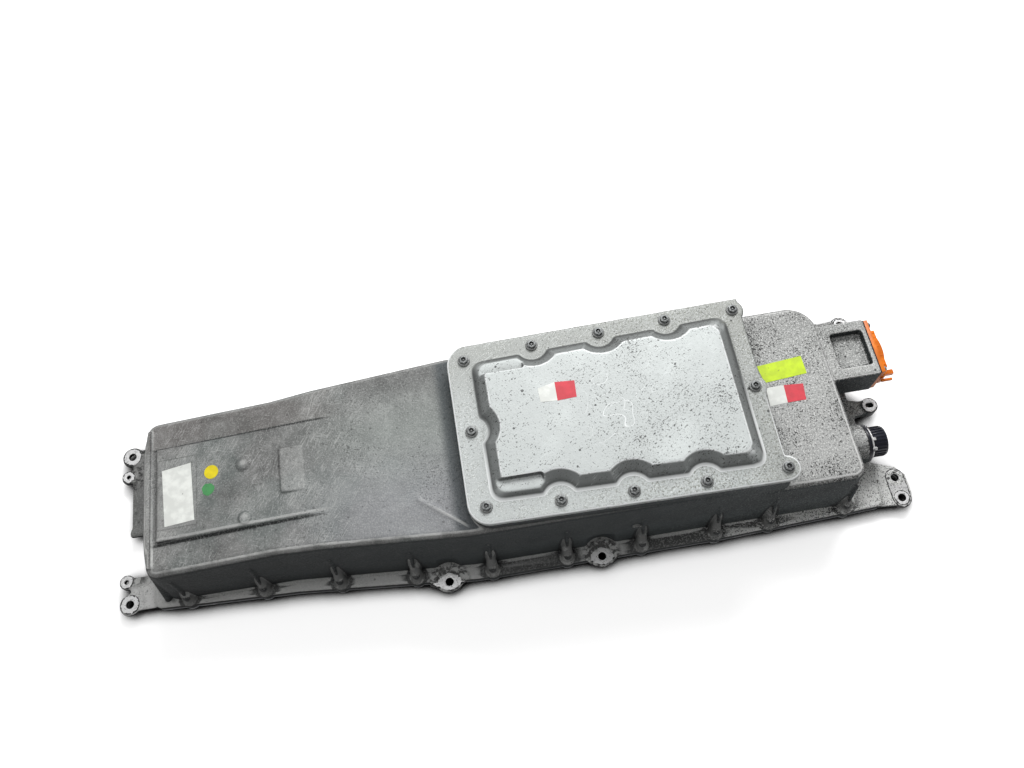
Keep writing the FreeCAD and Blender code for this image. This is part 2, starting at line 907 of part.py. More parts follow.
def left_tongue():
    """A ledge at the left end with a round bead along its near edge."""
    reach = s.body_left - s.tongue_length
    root = s.body_left + s.wall / 2
    ledge = block("tongue", (reach, root), (s.tongue_front, s.tongue_back), (flange_bottom, flange_top))
    bead_x = reach - 1.5
    height = flange_top - s.bead_radius
    length = root - bead_x
    bead = rod("tongue_bead", s.bead_radius + 1.0, length, bead_x, s.tongue_front, height, ALONG_X)
    return [ledge, bead]


def roof_details():
    """The raised panel on the sloping roof, the ridge at the left end and the small raised marks."""
    body = body_named("roof_panel")
    outline = sketch_on(body, "roof_panel_outline", "XZ_Plane")
    left = panel_left
    points = [
        (left, roof_at(left) - s.wall / 2),
        (left, roof_at(left) + s.panel_rise),
        (s.wedge_start, flange_top + s.left_roof_height),
        (s.wedge_start, flange_top + s.left_roof_height - s.wall / 2),
    ]
    polygon(outline, points)
    slab = pad(body, "roof_panel_pad", outline, 2 * s.panel_half)
    slab.SideType = "Symmetric"
    line = bead_line
    ridge_z = roof_at(line) - s.bead_radius / 4
    ridge = rod("left_ridge", s.bead_radius, 2 * s.bead_half, line, -s.bead_half, ridge_z, ALONG_Y)
    items = [body, ridge]
    for number, (x, y) in enumerate(((s.eject_first, s.eject_near), (s.eject_first, s.eject_far))):
        share = (s.wedge_start - x) / (s.wedge_start - panel_left)
        z = roof_at(x) + s.panel_rise * share
        items.append(rod("eject_mark_%d" % number, s.eject_radius, s.eject_rise + 3.0, x, y, z - 3.0))
    x = (s.patch_left, s.patch_left + s.patch_length)
    share = (s.wedge_start - x[1]) / (s.wedge_start - panel_left)
    z = roof_at(x[1]) + s.panel_rise * share
    items.append(block("roof_patch", x, (s.patch_near, s.patch_far), (z - 3.0, z + s.patch_rise)))
    return items


neck_ceiling = flange_top + s.neck_top
neck_floor = neck_ceiling - s.neck_height
neck_axis = (neck_ceiling + neck_floor) / 2
duct_bottom = neck_floor + s.duct_floor
duct_top = neck_ceiling - s.neck_pocket_depth - s.neck_wall
duct_axis = (duct_bottom + duct_top) / 2
signal_axis = flange_top + s.signal_height


def neck():
    """The square duct that carries the high-voltage header, and the round boss below it."""
    body = body_named("neck")
    outline = sketch_on(body, "neck_outline", "YZ_Plane", s.body_right - 3 * s.wall)
    near = s.neck_middle - s.neck_width / 2
    far = s.neck_middle + s.neck_width / 2
    points = [(near, neck_floor), (far, neck_floor), (far, neck_ceiling), (near, neck_ceiling)]
    polygon(outline, points)
    tip = pad(body, "neck_pad", outline, neck_end - s.body_right + 3 * s.wall)

    def along(first, last, edge):
        return abs(first.x - last.x) > 0.9 * edge.Length

    fillet(body, "neck_edges", tip, s.neck_edge_radius, along)
    start = s.body_right - 3 * s.wall
    length = signal_boss_end - start
    boss = rod("signal_boss", s.signal_boss_radius, length, start, s.signal_offset, signal_axis, ALONG_X)
    return [body, boss]


def neck_pocket():
    near = s.neck_middle - s.neck_pocket_half
    far = s.neck_middle + s.neck_pocket_half
    points = [
        (neck_pocket_left, near),
        (neck_pocket_right, near),
        (neck_pocket_right, far),
        (neck_pocket_left, far),
    ]
    bottom = neck_ceiling - s.neck_pocket_depth
    corners = [(number, s.neck_edge_radius) for number in range(4)]
    return plate("neck_pocket", points, bottom, s.neck_pocket_depth + 1.0, corners)


def header_screw_places():
    y_reach = s.header_width / 2 - s.header_screw_inset
    z_reach = s.header_height / 2 - s.header_screw_inset
    return [(s.neck_middle + j * y_reach, neck_axis + k * z_reach) for j in (-1, 1) for k in (-1, 1)]


def signal_screw_places():
    reach = s.signal_screw_offset
    return [(s.signal_offset + j * reach, signal_axis + k * reach) for j in (-1, 1) for k in (-1, 1)]


def cover_bosses():
    """Round bosses below the rim that take the cover screws, and the bulges under the three ears."""
    items = []
    for number, (x, y) in enumerate(cover_screws_at):
        base = cover_seat - s.cover_boss_height
        items.append(rod("cover_boss_%d" % number, s.cover_boss_radius, s.cover_boss_height, x, y, base))
    return items


def ear_pockets(name, grow, bottom):
    """The hollows in the long walls that leave room for a socket over each middle ear."""
    items = []
    radius = s.ear_pocket_radius + grow
    top = flange_top + s.ear_pocket_height + grow
    for x in (s.middle_ear_first, s.middle_ear_second):
        for side, sign, turn in SIDES:
            y = sign * middle_ear_offset
            items.append(rod("%s_%s_%d" % (name, side, len(items)), radius, top - bottom, x, y, bottom))
            items.append(
                cone("%s_crown_%s_%d" % (name, side, len(items)), radius, radius / 2, radius / 2, x, y, top),
            )
    return fuse(name, items)


def casting_hollow():
    """All that is open inside the housing, without the screw holes."""
    core = casting_block("casting_core", s.wall, flange_bottom - 1.0)
    items = [cut("casting_core_bulged", core, ear_pockets("inner_bulges", s.wall, flange_bottom - 2.0))]
    inset = s.cover_sheet + s.cover_fit + s.wall
    height = s.pedestal_height - s.pedestal_roof - s.shoulder_height + 2 * s.wall
    bottom = cover_seat - s.pedestal_roof - height
    items.append(cover_shape("pedestal_core", inset, bottom, height))
    points = [
        (s.opening_left, -opening_half),
        (s.opening_right, -opening_half),
        (s.opening_right, opening_half),
        (s.opening_left, opening_half),
    ]
    corners = [(number, s.opening_radius) for number in range(4)]
    items.append(plate("service_opening", points, cover_seat - 2 * s.pedestal_roof, 30.0, corners))
    y = (s.neck_middle - s.duct_half, s.neck_middle + s.duct_half)
    items.append(block("duct", (s.body_right - 4 * s.wall, neck_end + 1.0), y, (duct_bottom, duct_top)))
    start = s.body_right - 4 * s.wall
    length = signal_boss_end + 1.0 - start
    items.append(
        rod("signal_bore", s.signal_bore_radius, length, start, s.signal_offset, signal_axis, ALONG_X),
    )
    return fuse("casting_hollow", items)


def casting_holes():
    """The recess round each middle ear, the pocket on the neck and every screw and bolt hole."""
    items = [neck_pocket()]
    ear_top = flange_bottom + s.ear_thickness
    for number, (x, y, radius) in enumerate(bolt_ears()):
        items.append(rod("ear_hole_%d" % number, s.ear_bolt_diameter / 2, 20.0, x, y, flange_bottom - 1.0))
    for x in (s.middle_ear_first, s.middle_ear_second):
        for side, sign, turn in SIDES:
            name = "ear_recess_%s_%d" % (side, len(items))
            radius = s.ear_ring_radius + s.middle_ear_clearance
            y = sign * middle_ear_offset
            recess = rod(name, radius, 20.0, x, y, ear_top)
            face = rod(name + "_face", s.ear_ring_radius, s.ear_face_rise, x, y, ear_top)
            items.append(cut(name + "_ring", recess, face))
    for side, sign, turn in SIDES:
        x, y = left_small_ear_line, sign * left_small_ear_offset
        items.append(rod("small_ear_hole_" + side, s.ear_small_diameter / 2, 20.0, x, y, flange_bottom - 1.0))
    reach = (s.axis_ear_slot_length - s.axis_ear_slot_width) / 2
    for end, sign in (("in", -1), ("out", 1)):
        x = axis_ear_line + sign * reach
        items.append(rod("slot_end_" + end, s.axis_ear_slot_width / 2, 30.0, x, 0.0, flange_bottom - 1.0))
    slot_y = (-s.axis_ear_slot_width / 2, s.axis_ear_slot_width / 2)
    slot_x = (axis_ear_line - reach, axis_ear_line + reach)
    items.append(block("slot_middle", slot_x, slot_y, (flange_bottom - 1.0, flange_bottom + 29.0)))
    for number, (x, y) in enumerate(cover_screws_at):
        depth = s.cover_screw_length
        radius = s.cover_screw_diameter / 2 + s.thread_fit
        items.append(rod("cover_tap_%d" % number, radius, depth, x, y, cover_seat - depth))
    for number, (x, y) in enumerate(bottom_screw_places()):
        depth = s.bottom_screw_length
        radius = s.bottom_screw_diameter / 2 + s.thread_fit
        items.append(rod("bottom_tap_%d" % number, radius, depth, x, y, flange_bottom))
    for number, (y, z) in enumerate(header_screw_places()):
        x = neck_end - s.header_screw_length
        radius = s.header_screw_diameter / 2 + s.thread_fit
        items.append(rod("header_tap_%d" % number, radius, s.header_screw_length, x, y, z, ALONG_X))
    for number, (y, z) in enumerate(signal_screw_places()):
        x = signal_boss_end - s.signal_screw_length
        radius = s.signal_screw_diameter / 2 + s.thread_fit
        items.append(rod("signal_tap_%d" % number, radius, s.signal_screw_length, x, y, z, ALONG_X))
    return fuse("casting_holes", items)


def upper_housing():
    rim_inset = s.cover_sheet + s.cover_fit
    lift = s.shoulder_height - s.wall
    outer = casting_block("casting_outer", as_size(0.0), flange_bottom)
    items = [
        cut("casting_pocketed", outer, ear_pockets("outer_pockets", as_size(0.0), flange_top)),
        cover_shape("casting_pedestal", rim_inset, flange_top + lift, s.pedestal_height - lift),
        flange_shape("casting_flange", as_size(0.0), flange_bottom, s.flange_thickness),
    ]
    items += humps_and_gussets() + ear_lugs() + roof_details() + neck()
    bulk = fuse("casting_bulk", items)
    shell = cut("casting_shell", bulk, casting_hollow())
    bossed = fuse("casting_bossed", [shell] + cover_bosses())
    return cut("upper_housing", bossed, casting_holes())


def compound(name, items):
    """Identical pieces kept as separate solids under one name."""
    item = doc.addObject("Part::Compound", name)
    item.Links = items
    return item


def washer_head(name, head, height, diameter, length, x, y, z, facing):
    """A hexagon screw with a washer face under its head; its seat is at the given place."""
    washer = height * s.washer_share
    turn = ALONG_X if facing == "right" else ALONG_Z
    starts = {"washer": as_size(0.0), "head": as_size(0.0), "shank": -length}
    if facing == "down":
        starts = {"washer": -washer, "head": -height, "shank": -washer}
    spots = {}
    for part, start in starts.items():
        spots[part] = (x + start, y, z) if facing == "right" else (x, y, z + start)
    items = [
        rod(name + "_washer", head / 2, washer, *spots["washer"], turn),
        hexagon(name + "_head", head / 2 * s.hexagon_share, height, *spots["head"], turn),
        rod(name + "_shank", diameter / 2, length + washer, *spots["shank"], turn),
    ]
    return fuse(name, items)


def holes_at(name, places, radius, bottom, depth):
    return [rod("%s_%d" % (name, k), radius, depth, x, y, bottom) for k, (x, y) in enumerate(places)]


# Service cover, its gasket and its screws

cover_hole = s.cover_screw_diameter / 2 + s.screw_clearance


def service_opening(name, bottom, thickness):
    points = [
        (s.opening_left, -opening_half),
        (s.opening_right, -opening_half),
        (s.opening_right, opening_half),
        (s.opening_left, opening_half),
    ]
    return plate(name, points, bottom, thickness, [(number, s.opening_radius) for number in range(4)])


def emboss(name, base, inset, grow):
    """The raised field of the cover, scalloped round each screw and lower at its two left corners."""
    left = s.emboss_left + inset
    right = s.emboss_right - inset
    far = [(left, emboss_half_left - inset), (right, emboss_half_right - inset)]
    corners = [(number, s.emboss_corner_radius - inset) for number in range(4)]
    field = plate(name + "_field", mirror_points(far), base, s.emboss_height, corners, -s.emboss_angle)
    tools = []
    spread = tangent(s.emboss_angle)
    foot = s.scallop_radius + inset - spread
    height = s.emboss_height + 2.0
    for number, (x, y) in enumerate(scalloped_screws_at):
        tools.append(
            cone("%s_scallop_%d" % (name, number), foot, foot + spread * height, height, x, y, base - 1.0),
        )
    shelf_z = (base + s.emboss_height - s.shelf_drop, base + s.emboss_height + 1.0)
    shelf_x = (s.cover_left, s.shelf_right + grow)
    inner = s.shelf_half - grow
    tools.append(block(name + "_shelf_near", shelf_x, (-cover_half_right, -inner), shelf_z))
    tools.append(block(name + "_shelf_far", shelf_x, (inner, cover_half_right), shelf_z))
    return cut(name, field, fuse(name + "_tools", tools))


def service_cover():
    skirt = s.cover_sheet + s.cover_lip
    blank = cover_shape("cover_blank", as_size(0.0), cover_bottom - s.cover_lip, skirt)
    raised = fuse("cover_raised", [blank, emboss("emboss_outer", cover_top, as_size(0.0), as_size(0.0))])
    recess = cover_shape("cover_recess", s.cover_sheet, cover_bottom - s.cover_lip - 1.0, s.cover_lip + 1.0)
    inset = s.cover_sheet * tangent(s.emboss_angle / 2)
    hollow = emboss("emboss_inner", cover_bottom, inset, s.cover_sheet)
    holes = holes_at("cover_hole", cover_screws_at, cover_hole, cover_bottom - 1.0, s.cover_sheet + 2.0)
    return cut("service_cover", raised, fuse("cover_tools", [recess, hollow] + holes))


def service_cover_gasket():
    blank = cover_shape("cover_gasket_blank", s.cover_sheet + s.cover_fit, cover_seat, s.gasket_thickness)
    holes = holes_at(
        "cover_gasket_hole",
        cover_screws_at,
        cover_hole,
        cover_seat - 1.0,
        s.gasket_thickness + 2.0,
    )
    window = service_opening("cover_gasket_window", cover_seat - 1.0, s.gasket_thickness + 2.0)
    return cut("service_cover_gasket", blank, fuse("cover_gasket_tools", [window] + holes))


def service_cover_screws():
    length = s.cover_screw_length + s.cover_sheet + s.gasket_thickness - 2.0
    sizes = (s.cover_screw_head, s.cover_screw_head_height, s.cover_screw_diameter, length)
    items = []
    for number, (x, y) in enumerate(cover_screws_at):
        items.append(washer_head("cover_screw_%d" % number, *sizes, x, y, cover_top, "up"))
    return compound("service_cover_screws", items)


# Bottom plate, its gasket and its screws

bottom_hole = s.bottom_screw_diameter / 2 + s.screw_clearance


def ear_notches(name, bottom, thickness):
    """Room for the bolts of the middle ears in what lies below the flange."""
    items = []
    radius = s.ear_ring_radius + s.middle_ear_clearance
    for x in (s.middle_ear_first, s.middle_ear_second):
        for side, sign, turn in SIDES:
            spot = (x, sign * middle_ear_offset, bottom)
            items.append(rod("%s_%s_%d" % (name, side, len(items)), radius, thickness, *spot))
    return items


def inner_outline(inset):
    """The housing's inner walls at their foot, moved inwards by the inset."""
    far = [
        (s.body_left + s.wall + inset, s.body_half_left - s.wall - inset),
        (s.body_taper_start, s.body_half_taper - s.wall - inset),
        (s.body_taper_end, s.body_half_middle - s.wall - inset),
        (s.body_right - s.wall - inset, s.body_half_right - s.wall - inset),
    ]
    return mirror_points(far)


def pan(name, base, height, inset):
    """The pressed-down middle of the bottom plate, with sloping sides."""
    corners = [(number, s.pan_corner_radius - inset) for number in (0, 3, 4, 7)]
    return plate(name, inner_outline(s.pan_margin + inset), base, height, corners, s.pan_slope)


def bottom_plate():
    rim = flange_shape("bottom_rim", as_size(0.0), plate_rim_bottom, s.plate_sheet)
    outer = pan("pan_outer", as_size(0.0), gasket_bottom, as_size(0.0))
    blank = fuse("bottom_blank", [rim, outer])
    inner = pan("pan_inner", s.plate_sheet, s.plate_drop, s.plate_sheet * tangent(s.pan_slope / 2))
    holes = holes_at(
        "bottom_hole",
        bottom_screw_places(),
        bottom_hole,
        plate_rim_bottom - 1.0,
        s.plate_sheet + 2.0,
    )
    notches = ear_notches("bottom_notch", plate_rim_bottom - 1.0, s.plate_sheet + 2.0)
    return cut("bottom_plate", blank, fuse("bottom_tools", [inner] + holes + notches))


def bottom_plate_gasket():
    thickness = s.bottom_gasket_thickness
    blank = flange_shape("bottom_gasket_blank", s.bottom_gasket_margin, gasket_bottom, thickness)
    corners = [(number, s.corner_front_radius - s.wall) for number in (0, 3, 4, 7)]
    window = plate(
        "bottom_gasket_window",
        inner_outline(as_size(0.0)),
        gasket_bottom - 1.0,
        thickness + 2.0,
        corners,
    )
    holes = holes_at(
        "bottom_gasket_hole",
        bottom_screw_places(),
        bottom_hole,
        gasket_bottom - 1.0,
        thickness + 2.0,
    )
    notches = ear_notches("bottom_gasket_notch", gasket_bottom - 1.0, thickness + 2.0)
    return cut("bottom_plate_gasket", blank, fuse("bottom_gasket_tools", [window] + holes + notches))


def bottom_plate_screws():
    length = s.bottom_screw_length + s.plate_sheet + s.bottom_gasket_thickness - 2.0
    sizes = (s.bottom_screw_head, s.bottom_screw_head_height, s.bottom_screw_diameter, length)
    items = []
    for number, (x, y) in enumerate(bottom_screw_places()):
        items.append(washer_head("bottom_screw_%d" % number, *sizes, x, y, plate_rim_bottom, "down"))
    return compound("bottom_plate_screws", items)


# High-voltage connector on the neck

header_seat = neck_end + s.header_seal
header_face = header_seat + s.header_flange
terminal_lines = (s.neck_middle - s.terminal_pitch / 2, s.neck_middle + s.terminal_pitch / 2)


def upright_block(name, x, width, height, middle_y, middle_z):
    """A box along X, centred on a line."""
    y = (middle_y - width / 2, middle_y + width / 2)
    z = (middle_z - height / 2, middle_z + height / 2)
    return block(name, x, y, z)


def rods_along_x(name, places, radius, start, length):
    return [rod("%s_%d" % (name, k), radius, length, start, y, z, ALONG_X) for k, (y, z) in enumerate(places)]


def hv_connector_seal():
    x = (neck_end, header_seat)
    blank = upright_block("header_seal_blank", x, s.header_width, s.header_height, s.neck_middle, neck_axis)
    x = (neck_end - 1.0, header_seat + 1.0)
    window = upright_block(
        "header_seal_window",
        x,
        2 * s.duct_half,
        duct_top - duct_bottom,
        s.neck_middle,
        duct_axis,
    )
    radius = s.header_screw_diameter / 2 + s.screw_clearance
    holes = rods_along_x(
        "header_seal_hole",
        header_screw_places(),
        radius,
        neck_end - 1.0,
        s.header_seal + 2.0,
    )
    return cut("hv_connector_seal", blank, fuse("header_seal_tools", [window] + holes))


def hv_connector_header():
    x = (header_seat, header_face)
    flange = upright_block(
        "header_flange_plate",
        x,
        s.header_width,
        s.header_height,
        s.neck_middle,
        neck_axis,
    )
    mouth = header_face + s.header_shroud_length
    size = (s.header_shroud_width, s.header_shroud_height)
    shroud = upright_block("header_shroud", (header_seat, mouth), *size, s.neck_middle, duct_axis)
    gap = 2 * s.header_plug_clearance
    size = (2 * s.duct_half - gap, duct_top - duct_bottom - gap)
    plug = upright_block(
        "header_plug",
        (header_seat - s.header_plug_length, header_seat),
        *size,
        s.neck_middle,
        duct_axis,
    )
    tab_y = s.neck_middle - s.header_width / 2 + s.header_tab_offset / 2
    x = (header_seat, header_seat + s.header_tab_reach)
    tab = upright_block("header_tab_arm", x, s.header_tab, s.header_tab, tab_y, neck_axis)
    blank = fuse("header_blank", [flange, shroud, plug, tab])
    thick = 2 * s.header_wall
    size = (s.header_shroud_width - thick, s.header_shroud_height - thick)
    mouth_hole = upright_block("header_mouth", (header_face, mouth + 1.0), *size, s.neck_middle, duct_axis)
    radius = s.terminal_diameter / 2 + s.moulding_fit
    start = header_seat - s.header_plug_length - 1.0
    places = [(y, duct_axis) for y in terminal_lines]
    bores = rods_along_x("header_bore", places, radius, start, header_face + 2.0 - start)
    radius = s.header_screw_diameter / 2 + s.screw_clearance
    holes = rods_along_x(
        "header_hole",
        header_screw_places(),
        radius,
        header_seat - 1.0,
        s.header_flange + 2.0,
    )
    return cut("hv_connector_header", blank, fuse("header_tools", [mouth_hole] + bores + holes))


def hv_connector_screws():
    length = s.header_screw_length + s.header_seal + s.header_flange - 2.0
    sizes = (s.header_screw_head, s.header_screw_diameter * 0.7, s.header_screw_diameter, length)
    items = []
    for number, (y, z) in enumerate(header_screw_places()):
        items.append(washer_head("header_screw_%d" % number, *sizes, header_face, y, z, "right"))
    return compound("hv_connector_screws", items)


terminal_lug_end = header_seat - s.header_plug_length
terminal_lug_start = terminal_lug_end - s.terminal_lug
bar_bottom = floor + s.tray_sheet + s.contactor_height
bar_top = bar_bottom + s.busbar_sheet


def hv_terminal(name, y):
    """A round pin in the shroud with a flat lug that carries the end of its bar."""
    lug_y = (y - 1.5 * s.terminal_diameter / 2, y + 1.5 * s.terminal_diameter / 2)
    lug_z = (bar_bottom - s.busbar_sheet, bar_bottom)
    lug = block(name + "_lug", (terminal_lug_start, terminal_lug_end), lug_y, lug_z)
    length = header_face + s.terminal_reach - terminal_lug_end
    start = terminal_lug_end - 1.0
    pin = rod(name + "_pin", s.terminal_diameter / 2, length + 1.0, start, y, duct_axis, ALONG_X)
    return fuse(name, [lug, pin])


# Round signal connector

signal_seat = signal_boss_end + s.gasket_thickness
signal_face = signal_seat + s.signal_flange


def signal_disc(name, start, end):
    return rod(name, s.signal_flange_radius, end - start, start, s.signal_offset, signal_axis, ALONG_X)


def signal_holes(name, start, length):
    radius = s.signal_screw_diameter / 2 + s.screw_clearance
    return rods_along_x(name, signal_screw_places(), radius, start, length)


def signal_connector_seal():
    blank = signal_disc("signal_seal_blank", signal_boss_end, signal_seat)
    start = signal_boss_end - 1.0
    length = s.gasket_thickness + 2.0
    bore = rod("signal_seal_bore", s.signal_bore_radius, length, start, s.signal_offset, signal_axis, ALONG_X)
    holes = signal_holes("signal_seal_hole", start, length)
    return cut("signal_connector_seal", blank, fuse("signal_seal_tools", [bore] + holes))


def signal_connector_shell():
    square = signal_disc("signal_flange_plate", signal_seat, signal_face)
    line = (s.signal_offset, signal_axis)
    length = s.signal_flange + s.signal_shell_length
    barrel = rod("signal_barrel", s.signal_shell_radius, length, signal_seat, *line, ALONG_X)
    end = signal_seat + length
    radius = s.signal_shell_radius - s.signal_wall
    cavity = rod("signal_cavity", radius, s.signal_depth + 1.0, end - s.signal_depth, *line, ALONG_X)
    start = signal_seat - 1.0
    throat = rod("signal_throat", s.signal_bore_radius - s.signal_wall, length, start, *line, ALONG_X)
    holes = signal_holes("signal_hole", start, s.signal_flange + 2.0)
    blank = fuse("signal_blank", [square, barrel])
    return cut("signal_connector_shell", blank, fuse("signal_tools", [cavity, throat] + holes))


insert_start = signal_face + s.signal_shell_length - s.signal_depth


def signal_pin_places():
    places = []
    for number in range(int(sheet.signal_pin_count)):
        angle = 2 * math.pi * number / sheet.signal_pin_count
        y = s.signal_offset + s.signal_pin_circle * math.cos(angle)
        places.append((y, signal_axis + s.signal_pin_circle * math.sin(angle)))
    return places


def signal_connector_insert():
    radius = s.signal_shell_radius - s.signal_wall
    line = (s.signal_offset, signal_axis)
    disc = rod("insert_disc", radius, s.signal_insert, insert_start, *line, ALONG_X)
    start = signal_seat + s.moulding_fit
    throat_radius = s.signal_bore_radius - s.signal_wall
    core = rod("insert_core", throat_radius, insert_start - start + 1.0, start, *line, ALONG_X)
    radius = s.signal_pin_radius + s.moulding_fit
    bores = rods_along_x("insert_bore", signal_pin_places(), radius, start - 1.0, 40.0)
    blank = fuse("insert_blank", [disc, core])
    return cut("signal_connector_insert", blank, fuse("insert_tools", bores))


def signal_contact_pins():
    length = s.signal_pin_length + s.signal_insert + insert_start - signal_seat
    pins = rods_along_x("signal_pin", signal_pin_places(), s.signal_pin_radius, signal_seat, length)
    return compound("signal_contact_pins", pins)


def signal_connector_screws():
    length = s.signal_screw_length + s.gasket_thickness + s.signal_flange - 2.0
    sizes = (s.signal_screw_head, s.signal_screw_diameter * 0.7, s.signal_screw_diameter, length)
    items = []
    for number, (y, z) in enumerate(signal_screw_places()):
        items.append(washer_head("signal_screw_%d" % number, *sizes, signal_face, y, z, "right"))
    return compound("signal_connector_screws", items)


# Cell module

cell_pitch = s.cell_thickness + s.cell_gap
cell_bottom = floor + s.pad_sheet
cell_top = cell_bottom + s.cell_height
terminal_top = cell_top + s.cell_terminal
cell_half = s.cell_width / 2
module_end = module_left + s.cell_count * cell_pitch - s.cell_gap


def cell_middle(number):
    return module_left + number * cell_pitch + s.cell_thickness / 2


def cell(number):
    name = "cell_%02d" % (number + 1)
    left = module_left + number * cell_pitch
    case = block(
        name + "_case",
        (left, left + s.cell_thickness),
        (-cell_half, cell_half),
        (cell_bottom, cell_top),
    )
    items = [case]
    half = s.cell_terminal_half
    middle = cell_middle(number)
    for side, sign, turn in SIDES:
        y = sign * s.cell_terminal_offset
        post_x = (middle - half, middle + half)
        items.append(
            block(name + "_post_" + side, post_x, (y - half, y + half), (cell_top - 1.0, terminal_top)),
        )
    return fuse(name, items)


def thermal_pad():
    x = (module_left, module_end)
    return block("thermal_pad", x, (-cell_half, cell_half), (floor, cell_bottom))


def end_plate(name, start):
    return block(name, (start, start + s.end_plate), (-cell_half, cell_half), (floor, cell_top))


band_left = module_left - s.end_plate - s.cell_gap
band_right = module_end + s.end_plate + s.cell_gap


def side_band(name, sign):
    """A steel strap along the cells, hooked round both end plates."""
    outer = cell_half + s.band
    hook = cell_half / 2
    z = (cell_bottom + s.cell_height / 3, cell_top - s.cell_height / 3)
    wide = (cell_half, outer) if sign > 0 else (-outer, -cell_half)
    hooked = (hook, outer) if sign > 0 else (-outer, -hook)
    items = [
        block(name + "_strap", (band_left - s.band, band_right + s.band), wide, z),
        block(name + "_left_hook", (band_left - s.band, band_left), hooked, z),
        block(name + "_right_hook", (band_right, band_right + s.band), hooked, z),
    ]
    return fuse(name, items)


def link_carrier():
    """A moulded tray over the cells with a long window along each row of terminals."""
    z = (cell_top, cell_top + s.carrier_sheet)
    blank = block("carrier_blank", (module_left, module_end), (-s.carrier_half, s.carrier_wing), z)
    cut_z = (cell_top - 1.0, cell_top + s.carrier_sheet + 1.0)
    cut_x = (module_left + 1.0, module_end - 1.0)
    tools = []
    for side, sign, turn in SIDES:
        y = sign * s.cell_terminal_offset
        tools.append(block("carrier_window_" + side, cut_x, (y - s.window_half, y + s.window_half), cut_z))
    return cut("link_carrier", blank, fuse("carrier_tools", tools))


def cell_links():
    items = []
    half = s.cell_terminal_half
    for number in range(int(sheet.cell_count) - 1):
        sign = -1 if number % 2 == 0 else 1
        y = sign * s.cell_terminal_offset
        x = (cell_middle(number) - half + 1.0, cell_middle(number + 1) + half - 1.0)
        z = (terminal_top, terminal_top + s.link_sheet)
        items.append(block("cell_link_%d" % number, x, (y - half, y + half), z))
    return compound("cell_links", items)


def chips(name, places, size, bottom, height):
    """Packages soldered on a board, sunk a little into it."""
    items = []
    for number, (x, y) in enumerate(places):
        span_x = (x - size / 2, x + size / 2)
        items.append(
            block(
                "%s_%d" % (name, number),
                span_x,
                (y - size / 2, y + size / 2),
                (bottom - 0.5, bottom + height),
            ),
        )
    return items


def cell_monitor_board():
    bottom = cell_top + s.carrier_sheet
    top = bottom + s.board_sheet
    x = (monitor_left, s.monitor_right)
    board = block("monitor_board", x, (-s.monitor_half, s.monitor_half), (bottom, top))
    pitch = (s.monitor_right - monitor_left) / 6
    places = [(monitor_left + (k + 0.5) * pitch, as_size(0.0)) for k in range(6)]
    return fuse("cell_monitor_board", [board] + chips("monitor_chip", places, s.monitor_half * 0.8, top, 1.5))


# Bars between the module, the fuse, the contactors and the connector

tray_top = floor + s.tray_sheet
fuse_top = s.fuse_seat + s.busbar_sheet
power_y = (s.power_line - s.busbar_width / 2, s.power_line + s.busbar_width / 2)
return_y = (s.return_line - s.busbar_width / 2, s.return_line + s.busbar_width / 2)
stud_hole = s.stud_diameter / 2 + s.screw_clearance
bar_z = (bar_bottom, bar_top)
stud_lines = (s.contactor_line - s.contactor_stud_pitch / 2, s.contactor_line + s.contactor_stud_pitch / 2)
fuse_lug_lines = (s.fuse_left - s.fuse_lug / 2, s.fuse_left + s.fuse_length + s.fuse_lug / 2)
bar_end = s.busbar_width / 2


def return_busbar():
    """From the free terminal of the first cell along the module and down to the tray."""
    far = s.return_near + s.return_width
    level = (terminal_top, terminal_top + s.link_sheet)
    half = s.cell_terminal_half
    start = cell_middle(0) - half
    riser_x = (s.return_riser, s.return_riser + s.link_sheet)
    foot_z = (tray_top, tray_top + s.link_sheet)
    near = s.cell_terminal_offset - half
    items = [
        block("return_tab", (start, start + 2 * half), (near, far), level),
        block("return_run", (start, riser_x[1]), (s.return_near, far), level),
        block("return_drop", riser_x, (s.return_near, far), (tray_top, level[1])),
        block("return_foot", (riser_x[0], riser_x[0] + s.busbar_width), (return_y[0], far), foot_z),
    ]
    return fuse("return_busbar", items)


def module_busbar():
    """From the free terminal of the last cell over the end plate and down to the fuse."""
    half = s.cell_terminal_half
    last = cell_middle(int(sheet.cell_count) - 1)
    riser_x = (s.module_riser, s.module_riser + s.busbar_sheet)
    level = (terminal_top, terminal_top + s.busbar_sheet)
    seat = (fuse_top, fuse_top + s.busbar_sheet)
    near = s.cell_terminal_offset - half
    items = [
        block("module_tab", (last - half, last + half), (near, power_y[1]), level),
        block("module_run", (last - half, riser_x[1]), power_y, level),
        block("module_drop", riser_x, power_y, (seat[0], level[1])),
        block("module_foot", (riser_x[0], fuse_lug_lines[0] + bar_end), power_y, seat),
    ]
    hole = rod(
        "module_hole",
        stud_hole,
        s.busbar_sheet + 2.0,
        fuse_lug_lines[0],
        s.power_line,
        fuse_top - 1.0,
    )
    return cut("module_busbar", fuse("module_bar", items), hole)


def main_fuse():
    """A round cartridge with a flat lug at each end."""
    axis = s.fuse_seat + s.busbar_sheet / 2
    end = s.fuse_left + s.fuse_length
    barrel = rod("fuse_barrel", s.fuse_radius, s.fuse_length, s.fuse_left, s.power_line, axis, ALONG_X)
    lugs = block("fuse_lugs", (s.fuse_left - s.fuse_lug, end + s.fuse_lug), power_y, (s.fuse_seat, fuse_top))
    places = [(x, s.power_line) for x in fuse_lug_lines]
    holes = holes_at("fuse_hole", places, stud_hole, s.fuse_seat - 1.0, s.busbar_sheet + 2.0)
    return cut("main_fuse", fuse("fuse_blank", [barrel, lugs]), fuse("fuse_tools", holes))


